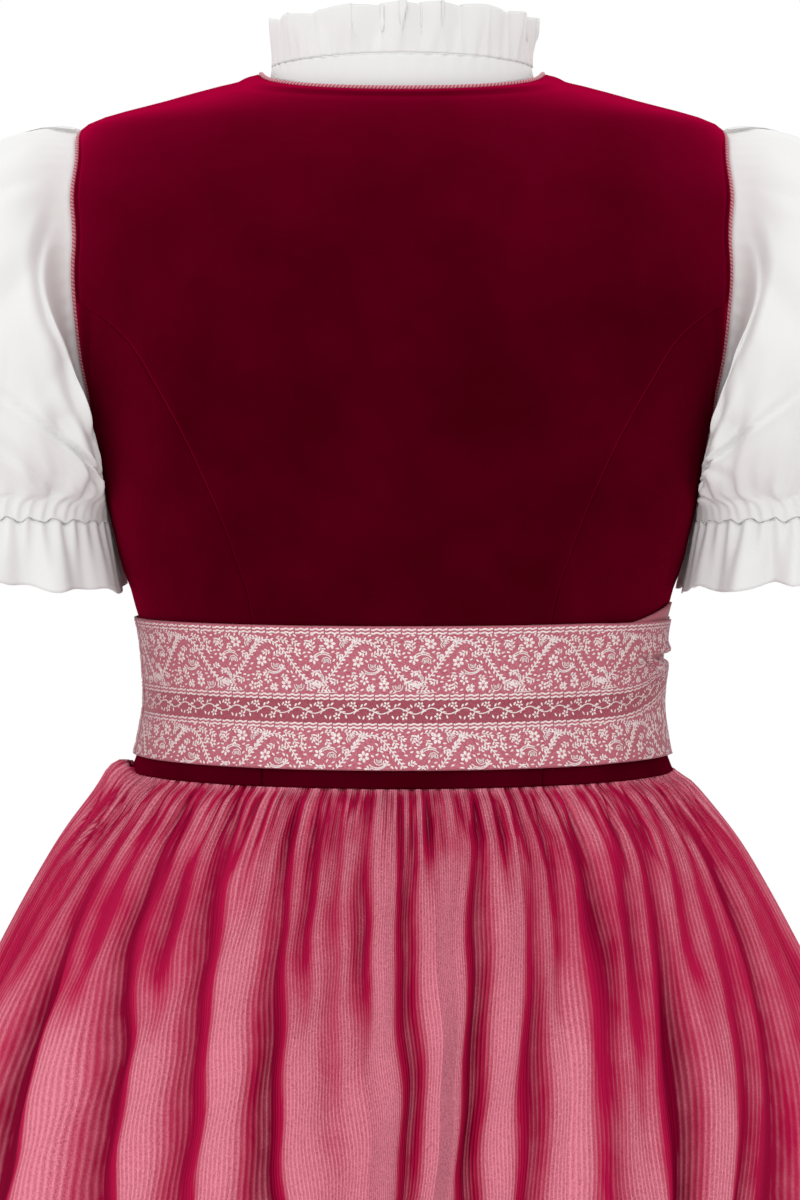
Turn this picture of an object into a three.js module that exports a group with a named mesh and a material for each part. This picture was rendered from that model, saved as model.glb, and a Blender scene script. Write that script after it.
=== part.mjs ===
// Dirndl set: velvet bodice with gathered skirt, apron tied by a woven ribbon, and a puff-sleeved blouse.
// Millimetres, +Z up. The front faces -Y and the wearer's left is +X. The origin lies midway between the
// two points where the neckline meets the shoulder seams. Angles run from the centre back (0 degrees)
// over the wearer's left side (90) to the centre front (180).
import * as THREE from "three";

const DEG = Math.PI / 180;
const GAP = 0.3;

const WALL = { velvet: 2, satin: 1.6, ribbon: 1.4, cotton: 1.1, ruffle: 1.2 };
const SHOULDER_TIP_Z = -29;
const PRINCESS_TOP_Z = -128;
const UNDERARM_Z = -198;
const WAIST_SEAM_Z = -387;
const NAPE_DROP = 14;
const RIBBON = { top: -301, bottom: -378, offset: 0.9, underOffset: 1.1, underWall: 1.1, layerGap: 0.8 };
const PIPING_RADIUS = 1.1;
const SKIRT_HEM_Z = -1087;
const APRON_HEM_Z = -1045;
const BLOUSE = { offset: -5.2, hem: -250, collarSeam: 0.9 };
const COLLAR = { halfWidth: 73.5, backDepth: 54, frontDepth: 58, backDrop: 12, frontDrop: 46, side: -3 };
const STAND = { sideHeight: 9, middleHeight: 21, lean: -1.5 };
const COLLAR_RUFFLE = { height: 28, flare: 5, waves: 18, wave: 3.4 };
const SLEEVE_RUFFLE = { height: 35, flare: 8, waves: 13, wave: 3.2 };
// Where the sleeve comes out from under the piping: beyond the armhole's edge and off the body.
const SLEEVE_LIP = { beyond: 4.6, offset: -0.6 };

// Half-width at the sides, depth behind and in front of the side line, at each height of the bodice.
const BODY = [
  { z: 12, half: 62, back: 37, front: 26 },
  { z: 0, half: 80, back: 43, front: 34 },
  { z: -14, half: 127, back: 62, front: 52 },
  { z: -29, half: 176, back: 75, front: 65 },
  { z: -50, half: 189, back: 88, front: 80 },
  { z: -75, half: 197.5, back: 99, front: 95 },
  { z: -100, half: 197.5, back: 108, front: 108 },
  { z: -130, half: 194, back: 114, front: 121 },
  { z: -160, half: 184.5, back: 115, front: 129 },
  { z: -180, half: 176.5, back: 114, front: 132 },
  { z: -198, half: 171.5, back: 112, front: 131 },
  { z: -237, half: 165, back: 107, front: 123 },
  { z: -270, half: 157, back: 102, front: 114 },
  { z: -293, half: 150, back: 99, front: 108 },
  { z: -315, half: 145, back: 97, front: 104 },
  { z: -345, half: 143, back: 97, front: 103 },
  { z: -371, half: 147, back: 100, front: 106 },
  { z: -387, half: 152, back: 104, front: 110 },
  { z: -400, half: 157, back: 108, front: 114 },
];

// How far behind and in front of the side line the armhole edge lies.
const ARMHOLE = [
  { z: -29, back: 0, front: 0 },
  { z: -38, back: 19, front: 22 },
  { z: -50, back: 30, front: 36 },
  { z: -75, back: 42, front: 53 },
  { z: -100, back: 47, front: 61 },
  { z: -130, back: 46, front: 60 },
  { z: -160, back: 36, front: 47 },
  { z: -180, back: 24, front: 31 },
  { z: -191, back: 13, front: 17 },
  { z: -198, back: 0, front: 0 },
];

// Sideways distance of the curved princess seams from the centre line.
const PRINCESS = [
  { z: -128, back: 177.7, front: 168.3 },
  { z: -135, back: 164, front: 147.5 },
  { z: -150, back: 147, front: 130.5 },
  { z: -172, back: 133, front: 113 },
  { z: -199, back: 117.5, front: 100 },
  { z: -221, back: 107, front: 92 },
  { z: -244, back: 97, front: 85 },
  { z: -270, back: 88, front: 78 },
  { z: -289, back: 82, front: 73 },
  { z: -330, back: 77, front: 68 },
  { z: -387, back: 75, front: 67 },
];

// Rows of a front panel: neckline and centre-front edge paired with armhole and princess edge.
const FRONT_ROWS = [
  { innerX: 80, innerZ: 0, outerZ: -29 },
  { innerX: 81, innerZ: -6, outerZ: -35 },
  { innerX: 82, innerZ: -15, outerZ: -44 },
  { innerX: 83, innerZ: -29, outerZ: -58 },
  { innerX: 84, innerZ: -50, outerZ: -78 },
  { innerX: 82, innerZ: -78, outerZ: -100 },
  { innerX: 74, innerZ: -104, outerZ: -116 },
  { innerX: 56, innerZ: -124, outerZ: -128 },
  { innerX: 29, innerZ: -135, outerZ: -140 },
  { innerX: 0, innerZ: -138, outerZ: -154 },
  { innerX: 0, innerZ: -150, outerZ: -166 },
  { innerX: 0, innerZ: -178, outerZ: -189 },
  { innerX: 0, innerZ: -206, outerZ: -214 },
  { innerX: 0, innerZ: -234, outerZ: -239 },
  { innerX: 0, innerZ: -262, outerZ: -264 },
  { innerX: 0, innerZ: -290, outerZ: -290 },
  { innerX: 0, innerZ: -301, outerZ: -301 },
  { innerX: 0, innerZ: -328, outerZ: -328 },
  { innerX: 0, innerZ: -354, outerZ: -354 },
  { innerX: 0, innerZ: -378, outerZ: -378 },
  { innerX: 0, innerZ: -387, outerZ: -387 },
];

// Each button sits on a row of the front panels, above the ribbon.
const BODICE_BUTTON_HEIGHTS = [-150, -178, -206, -234, -262, -290];
const BLOUSE_BUTTON_HEIGHTS = [-72, -92, -112];

// Heights at which the bodice and the ribbon on it have their vertices.
const RIBBON_ROWS = [-301, -328, -354, -378];
const BACK_ROWS = [
  0, -14, -29, -38, -50, -75, -100, -128, -150, -172, -199, -235, -270, ...RIBBON_ROWS, -387,
];

// Outer size of the gathered skirt, over the ridges of its folds.
const SKIRT = [
  { z: -378, half: 151, back: 103.5, front: 109.5 },
  { z: -387, half: 153.5, back: 105.5, front: 111.5 },
  { z: -394, half: 163, back: 118, front: 120 },
  { z: -405, half: 173, back: 128, front: 128 },
  { z: -427, half: 190, back: 143, front: 141 },
  { z: -450, half: 204, back: 157, front: 152 },
  { z: -483, half: 222, back: 174, front: 167 },
  { z: -528, half: 245, back: 195, front: 188 },
  { z: -600, half: 276, back: 225, front: 219 },
  { z: -700, half: 312, back: 262, front: 256 },
  { z: -800, half: 343, back: 293, front: 288 },
  { z: -950, half: 378, back: 328, front: 324 },
  { z: -1087, half: 400, back: 350, front: 347 },
];

// Furrows between the folds of the skirt's back: angle and depth at four heights, from the seam down.
const SKIRT_FURROWS = [
  { at: [78, 84, 85.5, 86], deep: [3, 5, 7, 9] },
  { at: [69.5, 77, 78, 76], deep: [3, 5, 8, 10] },
  { at: [64, 67, 70, 66], deep: [3, 3, 1, 0] },
  { at: [58.5, 59.5, 58, 54], deep: [3.5, 7, 12, 11] },
  { at: [51.5, 52, 50, 45], deep: [3, 5, 1, 0] },
  { at: [45, 45, 39, 35], deep: [5, 8.5, 10, 9] },
  { at: [37.6, 38, 33, 30], deep: [3.5, 7, 1, 0] },
  { at: [32.7, 31, 26.6, 25], deep: [5, 8, 8, 7] },
  { at: [24.5, 24, 21.5, 20.5], deep: [3, 2, 0, 0] },
  { at: [20.5, 18, 16.6, 14.9], deep: [4.5, 7, 10, 11] },
  { at: [15, 14, 12.2, 11], deep: [5, 6, 1, 0] },
  { at: [11, 10, 8.6, 7.5], deep: [4, 5, 4, 1] },
  { at: [6.6, 5.8, 4.5, 4], deep: [4.5, 7, 2, 0] },
  { at: [2.4, 2.2, 2, 2], deep: [2.5, 1, 0, 0] },
  { at: [-1.4, -0.6, -0.4, 0.3], deep: [4.5, 7, 8, 6] },
  { at: [-5.2, -5, -4, -3.4], deep: [4, 1.5, 0, 0] },
  { at: [-9.4, -7.4, -5.6, -5], deep: [3, 1, 0, 0] },
  { at: [-13.5, -10.4, -8, -7], deep: [5, 8, 9, 8] },
  { at: [-18, -15.2, -12, -10], deep: [3, 2, 0, 0] },
  { at: [-22.5, -19, -16.5, -13.4], deep: [4, 5, 8, 6] },
  { at: [-26.6, -23.4, -20.5, -17.5], deep: [3.5, 5, 0.5, 0] },
  { at: [-31.5, -31, -27, -24.6], deep: [5, 9, 6, 6] },
  { at: [-40.2, -36.4, -31.6, -28], deep: [4, 7, 4, 1] },
  { at: [-46.5, -42, -37.5, -32], deep: [4.5, 7, 12, 12] },
  { at: [-53.5, -48.4, -43.5, -35.5], deep: [3.5, 5, 2, 0.5] },
  { at: [-58.8, -54.6, -48.6, -39.5], deep: [3, 5, 7, 8] },
  { at: [-64, -62, -55, -45.5], deep: [5, 8, 8, 9] },
  { at: [-71, -70, -64, -56], deep: [3, 3, 3, 4] },
  { at: [-78, -79, -76, -72], deep: [3.5, 6, 8, 10] },
];
const FURROW_HEIGHTS = [-412, -461, -528, -600];
const SEAM_DEPTH_SHARE = 0.35;

// Places of the outer, upper edge and of the inner, lower edge of the puff sleeve, ring by ring.
const SLEEVE_RINGS = [
  { outerX: 198, outerZ: -28.5, innerX: 179.5, innerZ: -204, back: 59, front: 68 },
  { outerX: 226, outerZ: -37, innerX: 177, innerZ: -210, back: 69, front: 75 },
  { outerX: 262, outerZ: -58, innerX: 174.8, innerZ: -215, back: 76, front: 80 },
  { outerX: 290, outerZ: -90, innerX: 172.8, innerZ: -219, back: 80, front: 82 },
  { outerX: 303, outerZ: -128, innerX: 171, innerZ: -223, back: 79, front: 80 },
  { outerX: 301, outerZ: -166, innerX: 169.6, innerZ: -227, back: 74, front: 74 },
  { outerX: 290, outerZ: -201, innerX: 168.3, innerZ: -231, back: 65, front: 65 },
  { outerX: 278, outerZ: -226, innerX: 167.4, innerZ: -235, back: 55, front: 55 },
  { outerX: 273, outerZ: -232, innerX: 167.2, innerZ: -239, back: 51, front: 51 },
  { outerX: 273, outerZ: -243, innerX: 166.4, innerZ: -248, back: 51, front: 51 },
];

const fabric = (color, roughness) => new THREE.MeshStandardMaterial({ color, roughness, metalness: 0 });
const MATERIALS = {
  velvet: fabric(0x4a0210, 0.85),
  piping: fabric(0xc46a78, 0.7),
  satin: fabric(0xb0445b, 0.5),
  apron: fabric(0xb98a90, 0.55),
  ribbon: fabric(0xcd999f, 0.6),
  cotton: fabric(0xe6e6e4, 0.8),
  button: new THREE.MeshStandardMaterial({ color: 0x9a8c86, roughness: 0.4, metalness: 0.8 }),
};

const group = new THREE.Group();
const addMesh = (name, geometry, material) => {
  const mesh = new THREE.Mesh(geometry, material);
  mesh.name = name;
  group.add(mesh);
};

const lerp = THREE.MathUtils.lerp;
const smooth = (x) => THREE.MathUtils.smoothstep(x, 0, 1);
const between = (x, from, to) => smooth((x - from) / (to - from));
const spread = (count, from = 0, to = 1) =>
  Array.from({ length: count + 1 }, (_, i) => lerp(from, to, i / count));

// Reads a column of a table at a height, by a cubic that never overshoots the rows.
function readTable(table, column, z) {
  const falling = table[0].z > table[1].z;
  const rows = falling ? table : [...table].reverse();
  let i = rows.findIndex((row, k) => k > 0 && z >= row.z) - 1;
  if (i < 0) i = z >= rows[0].z ? 0 : rows.length - 2;
  const slope = (k) => (rows[k + 1][column] - rows[k][column]) / (rows[k + 1].z - rows[k].z);
  const tangent = (k) => {
    if (k === 0) return slope(0);
    if (k === rows.length - 1) return slope(k - 1);
    const a = slope(k - 1);
    const b = slope(k);
    return a * b <= 0 ? 0 : (2 * a * b) / (a + b);
  };
  const span = rows[i + 1].z - rows[i].z;
  const t = (z - rows[i].z) / span;
  if (t < 0) return rows[i][column] + slope(i) * (z - rows[i].z);
  if (t > 1) return rows[i + 1][column] + slope(i) * (z - rows[i + 1].z);
  const t2 = t * t;
  const t3 = t2 * t;
  return (2 * t3 - 3 * t2 + 1) * rows[i][column] + (t3 - 2 * t2 + t) * span * tangent(i) +
    (3 * t2 - 2 * t3) * rows[i + 1][column] + (t3 - t2) * span * tangent(i + 1);
}

// A point of the worn bodice's outer face.
function bodyPoint(degrees, z) {
  const angle = degrees * DEG;
  const depth = readTable(BODY, Math.cos(angle) > 0 ? "back" : "front", z);
  return new THREE.Vector3(readTable(BODY, "half", z) * Math.sin(angle), depth * Math.cos(angle), z);
}

function bodyNormal(degrees, z) {
  const along = bodyPoint(degrees + 0.05, z).sub(bodyPoint(degrees - 0.05, z));
  const up = bodyPoint(degrees, z + 0.05).sub(bodyPoint(degrees, z - 0.05));
  return along.cross(up).normalize().negate();
}

const bodyOffset = (degrees, z, distance) =>
  bodyPoint(degrees, z).addScaledVector(bodyNormal(degrees, z), distance);

// Angles of the cut edges, measured from the centre back (face "back") or from the centre front.
function armholeAngle(face, z) {
  const share = readTable(ARMHOLE, face, z) / readTable(BODY, face, z);
  return Math.acos(THREE.MathUtils.clamp(share, 0, 1)) / DEG;
}

function angleOfSide(x, z) {
  return Math.asin(THREE.MathUtils.clamp(x / readTable(BODY, "half", z), 0, 1)) / DEG;
}

const princessAngle = (face, z) => angleOfSide(readTable(PRINCESS, face, z), z);

// The seam allowance that parts two panels, as an angle.
const seamAngle = (z) => (GAP / 2 / readTable(BODY, "half", z)) / DEG;

function closedGeometry(positions, faces) {
  let volume = 0;
  for (const [a, b, c] of faces) {
    volume += positions[a].dot(new THREE.Vector3().crossVectors(positions[b], positions[c]));
  }
  const index = faces.flatMap(([a, b, c]) => (volume > 0 ? [a, b, c] : [a, c, b]));
  const geometry = new THREE.BufferGeometry();
  const numbers = positions.flatMap((p) => p.toArray());
  geometry.setAttribute("position", new THREE.Float32BufferAttribute(numbers, 3));
  geometry.setIndex(index);
  geometry.computeVertexNormals();
  return geometry;
}

// Triangles between two neighbouring rows of vertex numbers. The second may have half the columns.
function rowFaces(upper, lower) {
  const faces = [];
  if (upper.length === lower.length) {
    for (let i = 0; i + 1 < upper.length; i++) {
      faces.push([upper[i], lower[i], lower[i + 1]], [upper[i], lower[i + 1], upper[i + 1]]);
    }
    return faces;
  }
  for (let i = 0; i + 1 < lower.length; i++) {
    const [left, middle, right] = [upper[2 * i], upper[2 * i + 1], upper[2 * i + 2]];
    faces.push([left, lower[i], middle], [middle, lower[i], lower[i + 1]], [middle, lower[i + 1], right]);
  }
  return faces;
}

// A cloth wall: the outer face through at(u, v), the inner face one wall below it, and closed edges.
// rows lists v with its number of columns. inside is a point that the inner face looks towards.
function clothWall({ at, rows, wall, closed = false, inside, side }) {
  const step = 1e-4;
  const normalAt = (u, v) => {
    const along = at(u + step, v).sub(at(u - step, v));
    const down = at(u, v + step).sub(at(u, v - step));
    return along.cross(down).normalize();
  };
  const middle = rows[Math.floor(rows.length / 2)].v;
  const probe = at(0.45, middle);
  const centre = inside ?? new THREE.Vector3(0, 0, probe.z);
  const outwards = side ?? Math.sign(normalAt(0.45, middle).dot(probe.clone().sub(centre)));
  const positions = [];
  const layer = (depth) => rows.map(({ v, columns }) => {
    const ids = [];
    for (let i = 0; i < columns + (closed ? 0 : 1); i++) {
      const u = i / columns;
      ids.push(positions.length);
      positions.push(at(u, v).addScaledVector(normalAt(u, v), -outwards * depth));
    }
    if (closed) ids.push(ids[0]);
    return ids;
  });
  const outer = layer(0);
  const inner = layer(wall);
  const faces = [];
  for (let r = 0; r + 1 < rows.length; r++) {
    faces.push(...rowFaces(outer[r], outer[r + 1]));
    faces.push(...rowFaces(inner[r], inner[r + 1]).map(([a, b, c]) => [a, c, b]));
  }
  const last = rows.length - 1;
  faces.push(...rowFaces(inner[0], outer[0]));
  faces.push(...rowFaces(outer[last], inner[last]));
  if (!closed) {
    const column = (layerRows, end) => layerRows.map((row) => row[end ? row.length - 1 : 0]);
    faces.push(...rowFaces(column(outer, false), column(inner, false)));
    faces.push(...rowFaces(column(inner, true), column(outer, true)));
  }
  return closedGeometry(positions, faces);
}

const evenRows = (list, columns) => list.map((v) => ({ v, columns }));

// A cord of round section through a list of centres, with an across direction at each.
function cord(centres, acrosses, radius, closed, sides = 5) {
  const count = centres.length;
  const positions = [];
  const rings = centres.map((centre, i) => {
    const before = centres[closed ? (i + count - 1) % count : Math.max(0, i - 1)];
    const after = centres[closed ? (i + 1) % count : Math.min(count - 1, i + 1)];
    const tangent = after.clone().sub(before).normalize();
    const across = acrosses[i].clone().addScaledVector(tangent, -acrosses[i].dot(tangent)).normalize();
    const third = new THREE.Vector3().crossVectors(tangent, across);
    const ids = spread(sides, 0, 2 * Math.PI).slice(0, sides).map((angle) => {
      positions.push(centre.clone().addScaledVector(across, radius * Math.cos(angle))
        .addScaledVector(third, radius * Math.sin(angle)));
      return positions.length - 1;
    });
    ids.push(ids[0]);
    return ids;
  });
  const faces = [];
  for (let i = 0; i + 1 < count; i++) faces.push(...rowFaces(rings[i], rings[i + 1]));
  if (closed) {
    faces.push(...rowFaces(rings[count - 1], rings[0]));
  } else {
    for (let k = 1; k + 1 < sides; k++) {
      faces.push([rings[0][0], rings[0][k], rings[0][k + 1]]);
      faces.push([rings[count - 1][0], rings[count - 1][k + 1], rings[count - 1][k]]);
    }
  }
  return closedGeometry(positions, faces);
}

// Bodice

const mirrored = (point, sign) => new THREE.Vector3(point.x * sign, point.y, point.z);
const SIDES = [
  { name: "left", sign: 1 },
  { name: "right", sign: -1 },
];

function backEdgeAngle(z) {
  if (z > SHOULDER_TIP_Z) return 90;
  return z > PRINCESS_TOP_Z ? armholeAngle("back", z) : princessAngle("back", z);
}

const BACK_COLUMNS = 14;
const SIDE_COLUMNS = 5;
const FRONT_COLUMNS = 6;

// The whole back between the shoulder seams, armholes and princess seams.
function backPanelPoint(u, v, offset, bottom, edgeAngle, drop) {
  const edgeZ = bottom * v;
  const across = THREE.MathUtils.clamp(2 * u - 1, -1.01, 1.01);
  const dip = drop * Math.cos(across * 90 * DEG) ** 2 * (1 - v);
  const degrees = across * (edgeAngle(edgeZ) - seamAngle(edgeZ));
  return bodyOffset(degrees, edgeZ - dip, offset);
}

function frontEdge(v, column) {
  const place = THREE.MathUtils.clamp(v, 0, 1) * (FRONT_ROWS.length - 1);
  const i = Math.min(FRONT_ROWS.length - 2, Math.floor(place));
  return lerp(FRONT_ROWS[i][column], FRONT_ROWS[i + 1][column], place - i);
}

function frontPanelPoint(u, v) {
  const innerZ = frontEdge(v, "innerZ");
  const outerZ = frontEdge(v, "outerZ");
  const innerX = frontEdge(v, "innerX");
  const seam = outerZ > PRINCESS_TOP_Z ? armholeAngle("front", outerZ) : princessAngle("front", outerZ);
  const inner = innerX > 0 ? angleOfSide(innerX, innerZ) : seamAngle(innerZ);
  const degrees = lerp(inner, seam - seamAngle(outerZ), u);
  return bodyPoint(180 - degrees, lerp(innerZ, outerZ, u));
}

// A side panel from the princess seam to the side seam, with the armhole as its top edge.
function sidePanelPoint(face, u, v) {
  const top = lerp(PRINCESS_TOP_Z, UNDERARM_Z, u);
  const innerZ = lerp(PRINCESS_TOP_Z, WAIST_SEAM_Z, v);
  const outerZ = lerp(UNDERARM_Z, WAIST_SEAM_Z, v);
  const z = lerp(innerZ, outerZ, u);
  const inner = princessAngle(face, innerZ);
  const straight = lerp(princessAngle(face, PRINCESS_TOP_Z), 90, u);
  const bow = (armholeAngle(face, top) - straight) * (1 - v);
  const gap = lerp(1, -1, THREE.MathUtils.clamp(u, 0, 1)) * seamAngle(z);
  const degrees = lerp(inner, 90, u) + bow + gap;
  return bodyPoint(face === "back" ? degrees : 180 - degrees, z);
}

// Both sides of a princess seam have their vertices at the same heights.
function sidePanelRows(face) {
  const heights = face === "back" ? BACK_ROWS : FRONT_ROWS.map((row) => row.outerZ);
  return heights.filter((z) => z <= PRINCESS_TOP_Z)
    .map((z) => (z - PRINCESS_TOP_Z) / (WAIST_SEAM_Z - PRINCESS_TOP_Z));
}

function addBodice() {
  addMesh("bodice_back", clothWall({
    at: (u, v) => backPanelPoint(u, v, 0, WAIST_SEAM_Z, backEdgeAngle, NAPE_DROP),
    rows: evenRows(BACK_ROWS.map((z) => z / WAIST_SEAM_Z), BACK_COLUMNS),
    wall: WALL.velvet,
  }), MATERIALS.velvet);
  for (const { name, sign } of SIDES) {
    for (const face of ["back", "front"]) {
      addMesh(`bodice_side_${face}_${name}`, clothWall({
        at: (u, v) => mirrored(sidePanelPoint(face, u, v), sign),
        rows: evenRows(sidePanelRows(face), SIDE_COLUMNS),
        wall: WALL.velvet,
      }), MATERIALS.velvet);
    }
    addMesh(`bodice_front_${name}`, clothWall({
      at: (u, v) => mirrored(frontPanelPoint(u, v), sign),
      rows: evenRows(spread(FRONT_ROWS.length - 1), FRONT_COLUMNS),
      wall: WALL.velvet,
    }), MATERIALS.velvet);
  }
}

// Piping just beyond a panel edge, through the edge's own vertices. beyond is 1 or -1, the open side.
function edgePiping(edge, closed, beyond) {
  const count = edge.length;
  const acrosses = [];
  const centres = edge.map(({ degrees, z }, i) => {
    const before = edge[closed ? (i + count - 1) % count : Math.max(0, i - 1)];
    const after = edge[closed ? (i + 1) % count : Math.min(count - 1, i + 1)];
    const normal = bodyNormal(degrees, z);
    const along = bodyPoint(after.degrees, after.z).sub(bodyPoint(before.degrees, before.z));
    const across = along.cross(normal).normalize().multiplyScalar(beyond);
    acrosses.push(across);
    return bodyPoint(degrees, z).addScaledVector(across, GAP + PIPING_RADIUS)
      .addScaledVector(normal, -WALL.velvet / 2);
  });
  return cord(centres, acrosses, PIPING_RADIUS, closed);
}

// The armhole as a loop: t runs from the shoulder tip down the back and up the front.
function armholeEdge(t) {
  const turn = t * 2 * Math.PI;
  const middle = (SHOULDER_TIP_Z + UNDERARM_Z) / 2;
  const z = middle + ((SHOULDER_TIP_Z - UNDERARM_Z) / 2) * Math.cos(turn);
  const onBack = Math.sin(turn) >= 0;
  const degrees = armholeAngle(onBack ? "back" : "front", z);
  return { degrees: onBack ? degrees : 180 - degrees, z };
}

// The armhole loop through the vertices of the panels round it, down the back and up the front.
function armholeVertices() {
  const sideRows = spread(SIDE_COLUMNS, PRINCESS_TOP_Z, UNDERARM_Z);
  const run = (face, heights) => {
    const shown = heights.filter((z) => z > PRINCESS_TOP_Z && z <= SHOULDER_TIP_Z);
    return [...shown, ...sideRows].map((z) => {
      const degrees = armholeAngle(face, z);
      return { degrees: face === "back" ? degrees : 180 - degrees, z };
    });
  };
  const back = run("back", BACK_ROWS);
  const front = run("front", FRONT_ROWS.map((row) => row.outerZ));
  return [...back, ...front.reverse().slice(1, -1)];
}

// The neckline's vertices from the centre front over the left shoulder to the nape and back on the right.
function necklineVertices() {
  const front = FRONT_ROWS.filter((row) => row.innerX > 0 && row.innerZ < 0)
    .map(({ innerX, innerZ }) => ({ degrees: 180 - angleOfSide(innerX, innerZ), z: innerZ }));
  const back = spread(BACK_COLUMNS, 90, -90)
    .map((degrees) => ({ degrees, z: -NAPE_DROP * Math.cos(degrees * DEG) ** 2 }));
  const mouth = { degrees: 179, z: FRONT_ROWS.find((row) => row.innerX === 0).innerZ };
  const left = [mouth, ...front.reverse()];
  const right = left.map(({ degrees, z }) => ({ degrees: -degrees, z })).reverse();
  return [...left, ...back, ...right];
}

function addPiping() {
  addMesh("piping_neckline", edgePiping(necklineVertices(), false, -1), MATERIALS.piping);
  const loop = edgePiping(armholeVertices(), true, 1);
  for (const { name, sign } of SIDES) {
    const copy = loop.clone();
    if (sign < 0) {
      copy.scale(-1, 1, 1);
      const flipped = Array.from(copy.index.array);
      for (let i = 0; i < flipped.length; i += 3) {
        [flipped[i + 1], flipped[i + 2]] = [flipped[i + 2], flipped[i + 1]];
      }
      copy.setIndex(flipped);
    }
    addMesh(`piping_armhole_${name}`, copy, MATERIALS.piping);
  }
}

// Domed shank buttons down the centre front.
function addButtons(prefix, heights, radius, offset) {
  const profile = [
    [0, 0], [radius * 0.8, 0], [radius, radius * 0.18], [radius * 0.85, radius * 0.42],
    [radius * 0.45, radius * 0.6], [0, radius * 0.66],
  ].map(([x, y]) => new THREE.Vector2(x, y));
  heights.forEach((z, i) => {
    const geometry = new THREE.LatheGeometry(profile, 8);
    const normal = bodyNormal(180, z);
    const turn = new THREE.Quaternion().setFromUnitVectors(new THREE.Vector3(0, 1, 0), normal);
    geometry.applyQuaternion(turn);
    const place = bodyOffset(180, z, offset);
    geometry.translate(place.x, place.y, place.z);
    addMesh(`${prefix}_${i + 1}`, geometry, MATERIALS.button);
  });
}

// Skirt

// The furrows of the skirt's front and of the apron are even apart from a small, repeatable unevenness.
function evenFurrows(count, from, to, depths) {
  return spread(count - 1).map((t, i) => {
    const shift = (0.28 * Math.sin(i * 2.4 + 0.7) * (to - from)) / count;
    const degrees = lerp(from, to, t) + (i % (count - 1) === 0 ? 0 : shift);
    const share = 0.8 + 0.25 * Math.sin(i * 1.9);
    return { at: depths.map(() => degrees), deep: depths.map((d) => d * share) };
  });
}

function readFurrow(furrow, key, z) {
  const table = FURROW_HEIGHTS.map((height, i) => ({ z: height, value: furrow[key][i] }));
  return readTable(table, "value", THREE.MathUtils.clamp(z, FURROW_HEIGHTS[3], FURROW_HEIGHTS[0]));
}

// Angle and inward depth at a share u of a gathered panel, whose columns follow the furrows down.
function foldAt(furrows, edges, u, z) {
  const places = [edges[0], ...furrows.map((f) => readFurrow(f, "at", z)), edges[1]];
  const fade = lerp(SEAM_DEPTH_SHARE, 1, between(z, WAIST_SEAM_Z, FURROW_HEIGHTS[0]));
  const depths = [0, ...furrows.map((f) => fade * readFurrow(f, "deep", z)), 0];
  const place = THREE.MathUtils.clamp(u, 0, 1) * (places.length - 1);
  const i = Math.min(places.length - 2, Math.floor(place));
  const t = place - i;
  const furrowShape = (s) => Math.cos((s * Math.PI) / 2) ** 3;
  return {
    degrees: lerp(places[i], places[i + 1], t),
    depth: depths[i] * furrowShape(t) + depths[i + 1] * furrowShape(1 - t),
  };
}

function skirtPoint(degrees, z, lift) {
  const angle = degrees * DEG;
  const half = readTable(SKIRT, "half", z);
  const depth = readTable(SKIRT, Math.cos(angle) > 0 ? "back" : "front", z);
  const outwards = new THREE.Vector3(Math.sin(angle) / half, Math.cos(angle) / depth, 0).normalize();
  return new THREE.Vector3(half * Math.sin(angle), depth * Math.cos(angle), z)
    .addScaledVector(outwards, lift);
}

function gatheredPanel(furrows, edges, top, hem, lift, heights, columnsPerFold, hemFrom) {
  const folds = furrows.length + 1;
  const zAt = (v) => lerp(top, hem, v);
  return clothWall({
    at: (u, v) => {
      const z = zAt(v);
      const fold = foldAt(furrows, edges, u, z);
      return skirtPoint(fold.degrees, z, lift(z) - fold.depth);
    },
    rows: heights.map((z) => ({
      v: (z - top) / (hem - top),
      columns: folds * (z < hemFrom ? columnsPerFold / 2 : columnsPerFold),
    })),
    wall: WALL.satin,
  });
}

function addSkirt() {
  const top = WAIST_SEAM_Z - GAP;
  const half = 90 - 0.1;
  addMesh("skirt_back", gatheredPanel(SKIRT_FURROWS, [half, -half], top, SKIRT_HEM_Z, () => 0,
    [top, -396, -425, -500, -600, -780, SKIRT_HEM_Z], 4, -600), MATERIALS.satin);
  addMesh("skirt_front", gatheredPanel(evenFurrows(11, 102, 258, [3, 5, 7, 8]), [90.1, 269.9], top,
    SKIRT_HEM_Z, () => 0, [top, -396, -430, -600, -800, SKIRT_HEM_Z], 4, -600), MATERIALS.satin);
}

// Ribbon, apron and bow

// The ribbon's second layer shows on the right, from this angle round to where the front part begins.
const UNDER_FROM = -52;
const UNDER_RISE = { from: -3, to: 9 };
const RIBBON_JOIN = 80;

function ribbonLift(degrees) {
  const under = RIBBON.underOffset + RIBBON.underWall + RIBBON.layerGap - RIBBON.offset;
  return RIBBON.offset + under * between(degrees, UNDER_FROM + 10, UNDER_FROM);
}

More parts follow.
